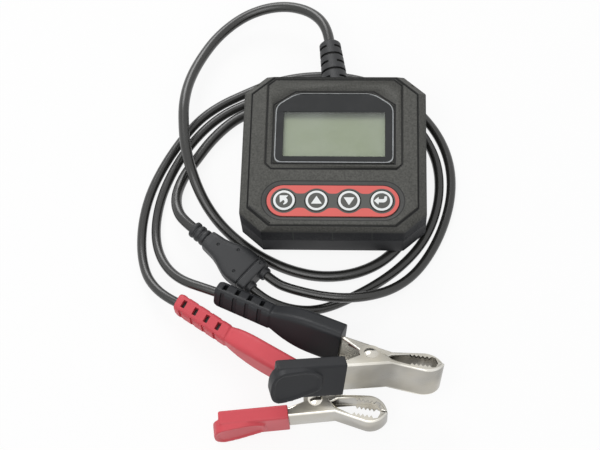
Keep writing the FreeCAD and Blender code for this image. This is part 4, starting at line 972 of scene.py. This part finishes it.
class TESTER_OT_splitter(bpy.types.Operator):
    """Y piece where the main cord parts into two leads"""
    bl_idname = "tester.splitter"
    bl_label = "Splitter"

    def execute(self, context):
        body = add_sections("splitter_body", [
            (0, 0, 0, 10.4, 10.4), (4, 0, 0, 11.2, 11), (8, 0, 0, 12, 11), (12, 0, 0, 14.2, 11),
            (16, 0, 0, 17.4, 11), (19, 0, 0, 19.6, 11), (22, 0, 0, 20.6, 11), (26, 0, 0, 20.7, 11),
            (29.2, 0, 0, 20.3, 11)], 2.6, 5)
        band = add_sections("splitter_band", [
            (30.1, 0, 0, 20, 11), (30.5, 0, 0, 20.8, 11.8), (34.4, 0, 0, 20.6, 11.8),
            (35, 0, 0, 19.8, 11)], 2.8, 5)
        core = add_sections("splitter_core", [(28, 0, 0, 18.4, 9), (31.5, 0, 0, 18.4, 9)], 2.6, 5)
        outlets = []
        for side in (-5.5, 5.5):
            sleeve = add_turned("splitter_outlet",
                                [(33, 0), (33, 3.75), (37.5, 3.7), (38, 3.2), (38, 0)])
            place(sleeve, Matrix.Translation((0, side * MM, 0)))
            outlets.append(sleeve)
        profile = [(-11, 0), (-11, 3.5)]
        for start in (-10.8, -7.2, -3.6):
            profile += [(start, 4.5), (start + 0.5, 4.7), (start + 1.9, 4.7), (start + 2.3, 4.5),
                        (start + 2.5, 3.8), (start + 3.4, 3.8)]
        profile += [(0.2, 4.8), (2, 4.8), (2, 0)]
        inlet = add_turned("splitter_inlet", profile)
        piece = joined(body, band, core, inlet, *outlets)
        piece.name = "splitter_moulding"
        remould(piece, sizes().rubber_step, 3)
        pits = []
        for pit in ((7.5, 0.5, 5.6), (18, 5.2, 5.6), (24.5, -5.5, 5.6), (32.4, 7.4, 6.0)):
            bpy.ops.mesh.primitive_uv_sphere_add(segments=20, ring_count=12, radius=0.9 * MM,
                                                 location=Vector(pit) * MM)
            pits.append(context.object)
        cut(piece, joined(*pits))
        place(piece, SPLITTER)
        rubber = moulded("splitter_rubber", colours().splitter, grain=1700.0, roughness=0.5,
                         strength=0.25, drift=0.3)
        settle(piece, BODY, "splitter", rubber, "cable_splitter")
        return {"FINISHED"}


class TESTER_OT_jaws(bpy.types.Operator):
    """Folded sheet metal jaws, rivets and springs"""
    bl_idname = "tester.jaws"
    bl_label = "Jaws"

    def execute(self, context):
        nickel = plated("satin_nickel", colours().nickel, 0.3)
        # Painted highlight: a lighter copy of the nickel for the rounded folds
        fold_highlight = plated("painted_fold_highlight", (0.9, 0.88, 0.82), 0.3)
        # Painted sheen: a lighter copy of the nickel for the outer cheeks
        cheek_sheen = plated("painted_cheek_sheen", (0.66, 0.635, 0.57), 0.3)
        bright = plated("bright_rivet", (0.78, 0.76, 0.71), 0.16, lines=400.0, strength=0.05)
        wire = plated("spring_wire", (0.42, 0.4, 0.34), 0.32, lines=1500.0)
        for name in CLAMPS:
            for half, body in (("cord", BODY), ("thumb", f"{name}_thumb_half")):
                node = f"{name}_{half}_jaw"
                jaw = copy_of(node, f"{node}_sheet")
                for finish in (nickel, fold_highlight, cheek_sheen):
                    jaw.data.materials.append(finish)
                self.round_folds(jaw)
                self.paint_cheek_sheen(jaw, CLAMPS[name])
                settle(jaw, body, "jaw", None, node)
            finish_node(bright, f"{name}_pivot_rivet")
            self.add_spring(name, wire)
        return {"FINISHED"}

    def add_spring(self, name, wire):
        """A smooth copy of the spring, whose coil lies between a leg on each half."""
        coil = copy_of(f"{name}_spring", f"{name}_coil", whole_faces=False)
        pick(coil)
        bpy.ops.object.shade_smooth()
        coil.data.materials.append(wire)
        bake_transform(coil)
        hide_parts(f"{name}_spring")

    def round_folds(self, jaw):
        """Rounds the folds of the sheet beside its cheeks, gives the rounded folds a painted
        highlight, and leaves the teeth sharp.
        """
        edit(jaw)
        bpy.ops.mesh.select_mode(type="EDGE")
        bpy.ops.mesh.select_all(action="DESELECT")
        mesh = bmesh.from_edit_mesh(jaw.data)
        for edge in mesh.edges:
            areas = sorted(face.calc_area() / MM ** 2 for face in edge.link_faces)
            fold = len(areas) == 2 and areas[0] > 6 and areas[1] > 60 and edge.is_convex
            edge.select_set(fold and edge.calc_face_angle() > math.radians(60))
        bmesh.update_edit_mesh(jaw.data)
        bpy.ops.mesh.bevel(offset=sizes().jaw_edge, segments=3, affect="EDGES", clamp_overlap=False,
                           material=1)
        smooth_faces(jaw)

    def paint_cheek_sheen(self, jaw, clamp):
        """Gives the outer flat sides of the sheet, across the rivet, a lighter painted sheen."""
        axis = clamp.to_3x3().col[2]

        def outer(face):
            facing = face.normal.dot(axis)
            side = (face.calc_center_median() - clamp.translation).dot(axis)
            return abs(facing) > 0.98 and facing * side > 0

        paint(jaw, outer, 2)
        leave_edit()


def boot_rubber(name):
    made = bpy.data.materials.get(f"{name}_boot_rubber")
    shade = colours().red_rubber if name == "red" else colours().black_rubber
    return made or moulded(f"{name}_boot_rubber", shade, grain=2200.0, roughness=0.46, strength=0.2,
                           speckle=0.14, drift=0.25, shine=0.32)


class TESTER_OT_thumb_boots(bpy.types.Operator):
    """Boots with the raised thumb rest"""
    bl_idname = "tester.thumb_boots"
    bl_label = "Thumb boots"

    def execute(self, context):
        model = self.model_boot()
        for name, clamp in CLAMPS.items():
            boot = twin(model, f"{name}_thumb_grip")
            place(boot, handle_frame(clamp, -1))
            settle(boot, f"{name}_thumb_half", f"{name}_boot", boot_rubber(name),
                   f"{name}_thumb_boot")
        bpy.data.objects.remove(model)
        return {"FINISHED"}

    def model_boot(self):
        sleeve = add_sections("grip", [
            (23.7, -1.95, 0, 7.5, 21), (30, -1.95, 0, 7.5, 21), (45, -1.95, 0, 7.5, 21),
            (58.6, -1.95, 0, 7.5, 21), (59.4, -1.95, 0, 6.7, 20.2)], 1.0, 3)
        outline = rounded([
            (REST_START, 4.6), (40, 6.2), (50, 9.2), (57.5, 10.2), (61, 8.2), (62.8, 3.5),
            (62.8, -3.5), (61, -8.2), (57.5, -10.2), (45, -10.2), (39.5, -8.2), (REST_START, -5)], 2)
        rest = add_flat("rest", outline, -1.5, REST_FOOT)
        self.shape_rest(rest)
        boot = joined(sleeve, rest)
        remould(boot, sizes().rubber_step, 3)
        cut(boot, add_box("socket", (20, -4.8, -8.85), (58.4, 0.1, 8.85)))
        return boot

    def shape_rest(self, rest):
        """Slopes the pad up from its narrow end, sinks its middle and stands it on the sleeve."""
        edit(rest)
        select_faces(rest, lambda face: face.normal.z > 0.9)
        bpy.ops.mesh.dissolve_faces()
        bpy.ops.transform.rotate(value=REST_SLOPE, orient_axis="Y",
                                 center_override=(REST_START * MM, 0, REST_FOOT * MM))
        bpy.ops.mesh.inset(thickness=1.5 * MM, depth=0)
        bpy.ops.mesh.inset(thickness=0.9 * MM, depth=-0.7 * MM)
        close_up(rest)
        place(rest, Matrix.Rotation(-math.pi / 2, 4, "X"))


class TESTER_OT_cord_boots(bpy.types.Operator):
    """Boots that narrow to the slotted relief round the lead"""
    bl_idname = "tester.cord_boots"
    bl_label = "Cord boots"

    def execute(self, context):
        model = self.model_boot()
        for name, clamp in CLAMPS.items():
            boot = twin(model, f"{name}_cord_grip")
            place(boot, handle_frame(clamp, 1))
            boot.data.materials[0] = boot_rubber(name)
            settle(boot, BODY, f"{name}_boot", None, f"{name}_cord_boot")
        bpy.data.objects.remove(model)
        return {"FINISHED"}

    def model_boot(self):
        flare = add_sections("grip", [
            (27, 1.3, 0, 11.4, 21), (36, 1.8, 0, 11.5, 21), (44, 2.3, 0, 11.5, 21),
            (49, 2.7, 0, 11.5, 20.4), (54, 3.2, 0, 11.4, 18.8), (59, 3.7, 0, 11, 16.2),
            (63, 4.1, 0, 10.3, 13.4), (66, 4.3, 0, 9.3, 11.2), (68.5, 4.6, 0, 8.4, 10)], 2.8, 4)
        ladder = add_sections("ladder", [
            (67.2, 4.4, 0, 8.8, 10.6), (68, 4.5, 0, 10, 12), (84, 6.5, 0, 10, 12),
            (98.6, 8.3, 0, 10, 12), (100.4, 8.5, 0, 9, 11), (101, 8.6, 0, 7.6, 9.6)], 2.4, 4)
        boot = joined(flare, ladder)
        remould(boot, sizes().rubber_step, 3)
        # The first slot is for the rubber, which each clamp has in its own colour
        for _ in range(2):
            boot.data.materials.append(bpy.data.materials["cord_jacket"])
        tools = []
        for number in range(SLOTS):
            start = SLOT_START + SLOT_PITCH * number
            end = start + SLOT_LENGTH
            middle = LADDER_FOOT + (start - LADDER_START) * LADDER_RISE
            near, far = middle - SLOT_HALF, middle + SLOT_HALF
            for low, high in ((SLOT_FLOOR, 8), (-8, -SLOT_FLOOR)):
                tools.append(add_box("slot", (start, near, low), (end, far, high)))
            for low, high in ((middle + 3.8, middle + 8), (middle - 8, middle - 3.8)):
                tools.append(add_box("notch", (start, low, -5), (end, high, 5)))
        tools.append(add_box("socket", (20, -2.3, -7.4), (47.1, 0.1, 7.4)))
        cut(boot, joined(*tools))
        self.bare_lead(boot)
        return boot

    def bare_lead(self, boot):
        """The lead's jacket shows at the bottom of the slots."""
        def bottom(face):
            x, _, z = face.calc_center_median() / MM
            return x > 70 and abs(face.normal.z) > 0.95 and abs(abs(z) - SLOT_FLOOR) < 0.03

        paint(boot, bottom, 1)
        leave_edit()


class TESTER_OT_inside(bpy.types.Operator):
    """Board, switches, wires and screws inside the casing"""
    bl_idname = "tester.inside"
    bl_label = "Inside"

    def execute(self, context):
        for name, shade, grain, roughness, strength, nodes in (
                ("board_lacquer", (0.02, 0.13, 0.05), 700.0, 0.35, 0.1, ["circuit_board"]),
                ("carrier_plastic", (0.55, 0.55, 0.52), 1200.0, 0.5, 0.3, ["lcd_frame"]),
                ("switch_case", (0.03, 0.03, 0.03), 1500.0, 0.45, 0.3,
                 ["tact_switches", "board_components"]),
                ("terminal_plastic", (0.03, 0.16, 0.06), 1500.0, 0.45, 0.3, ["terminal_block"]),
                ("wire_cover", (0.42, 0.03, 0.03), 1500.0, 0.4, 0.3, ["supply_wires"])):
            finish_node(moulded(name, shade, grain, roughness, strength), *nodes)
        finish_node(plated("screw_zinc", (0.62, 0.62, 0.6), 0.34), "cover_screws", "board_screws")
        return {"FINISHED"}


class TESTER_PT_panel(bpy.types.Panel):
    """Steps that finish the tester"""
    bl_idname = "TESTER_PT_panel"
    bl_label = "Battery tester"
    bl_space_type = "VIEW_3D"
    bl_region_type = "UI"
    bl_category = "Tester"

    def draw(self, context):
        for operator in OPERATORS:
            self.layout.operator(operator.bl_idname)


OPERATORS = (
    TESTER_OT_stage, TESTER_OT_cords, TESTER_OT_casing, TESTER_OT_display, TESTER_OT_keypad,
    TESTER_OT_strain_relief, TESTER_OT_splitter, TESTER_OT_jaws, TESTER_OT_thumb_boots,
    TESTER_OT_cord_boots, TESTER_OT_inside,
)
CLASSES = (TesterSizes, TesterColours) + OPERATORS + (TESTER_PT_panel,)


def register():
    for item in CLASSES:
        bpy.utils.register_class(item)
    bpy.types.Scene.tester_sizes = PointerProperty(type=TesterSizes)
    bpy.types.Scene.tester_colours = PointerProperty(type=TesterColours)


def unregister():
    del bpy.types.Scene.tester_colours
    del bpy.types.Scene.tester_sizes
    for item in reversed(CLASSES):
        bpy.utils.unregister_class(item)


def main():
    register()
    for operator in OPERATORS:
        group, name = operator.bl_idname.split(".")
        getattr(getattr(bpy.ops, group), name)()


if __name__ == "__main__":
    main()
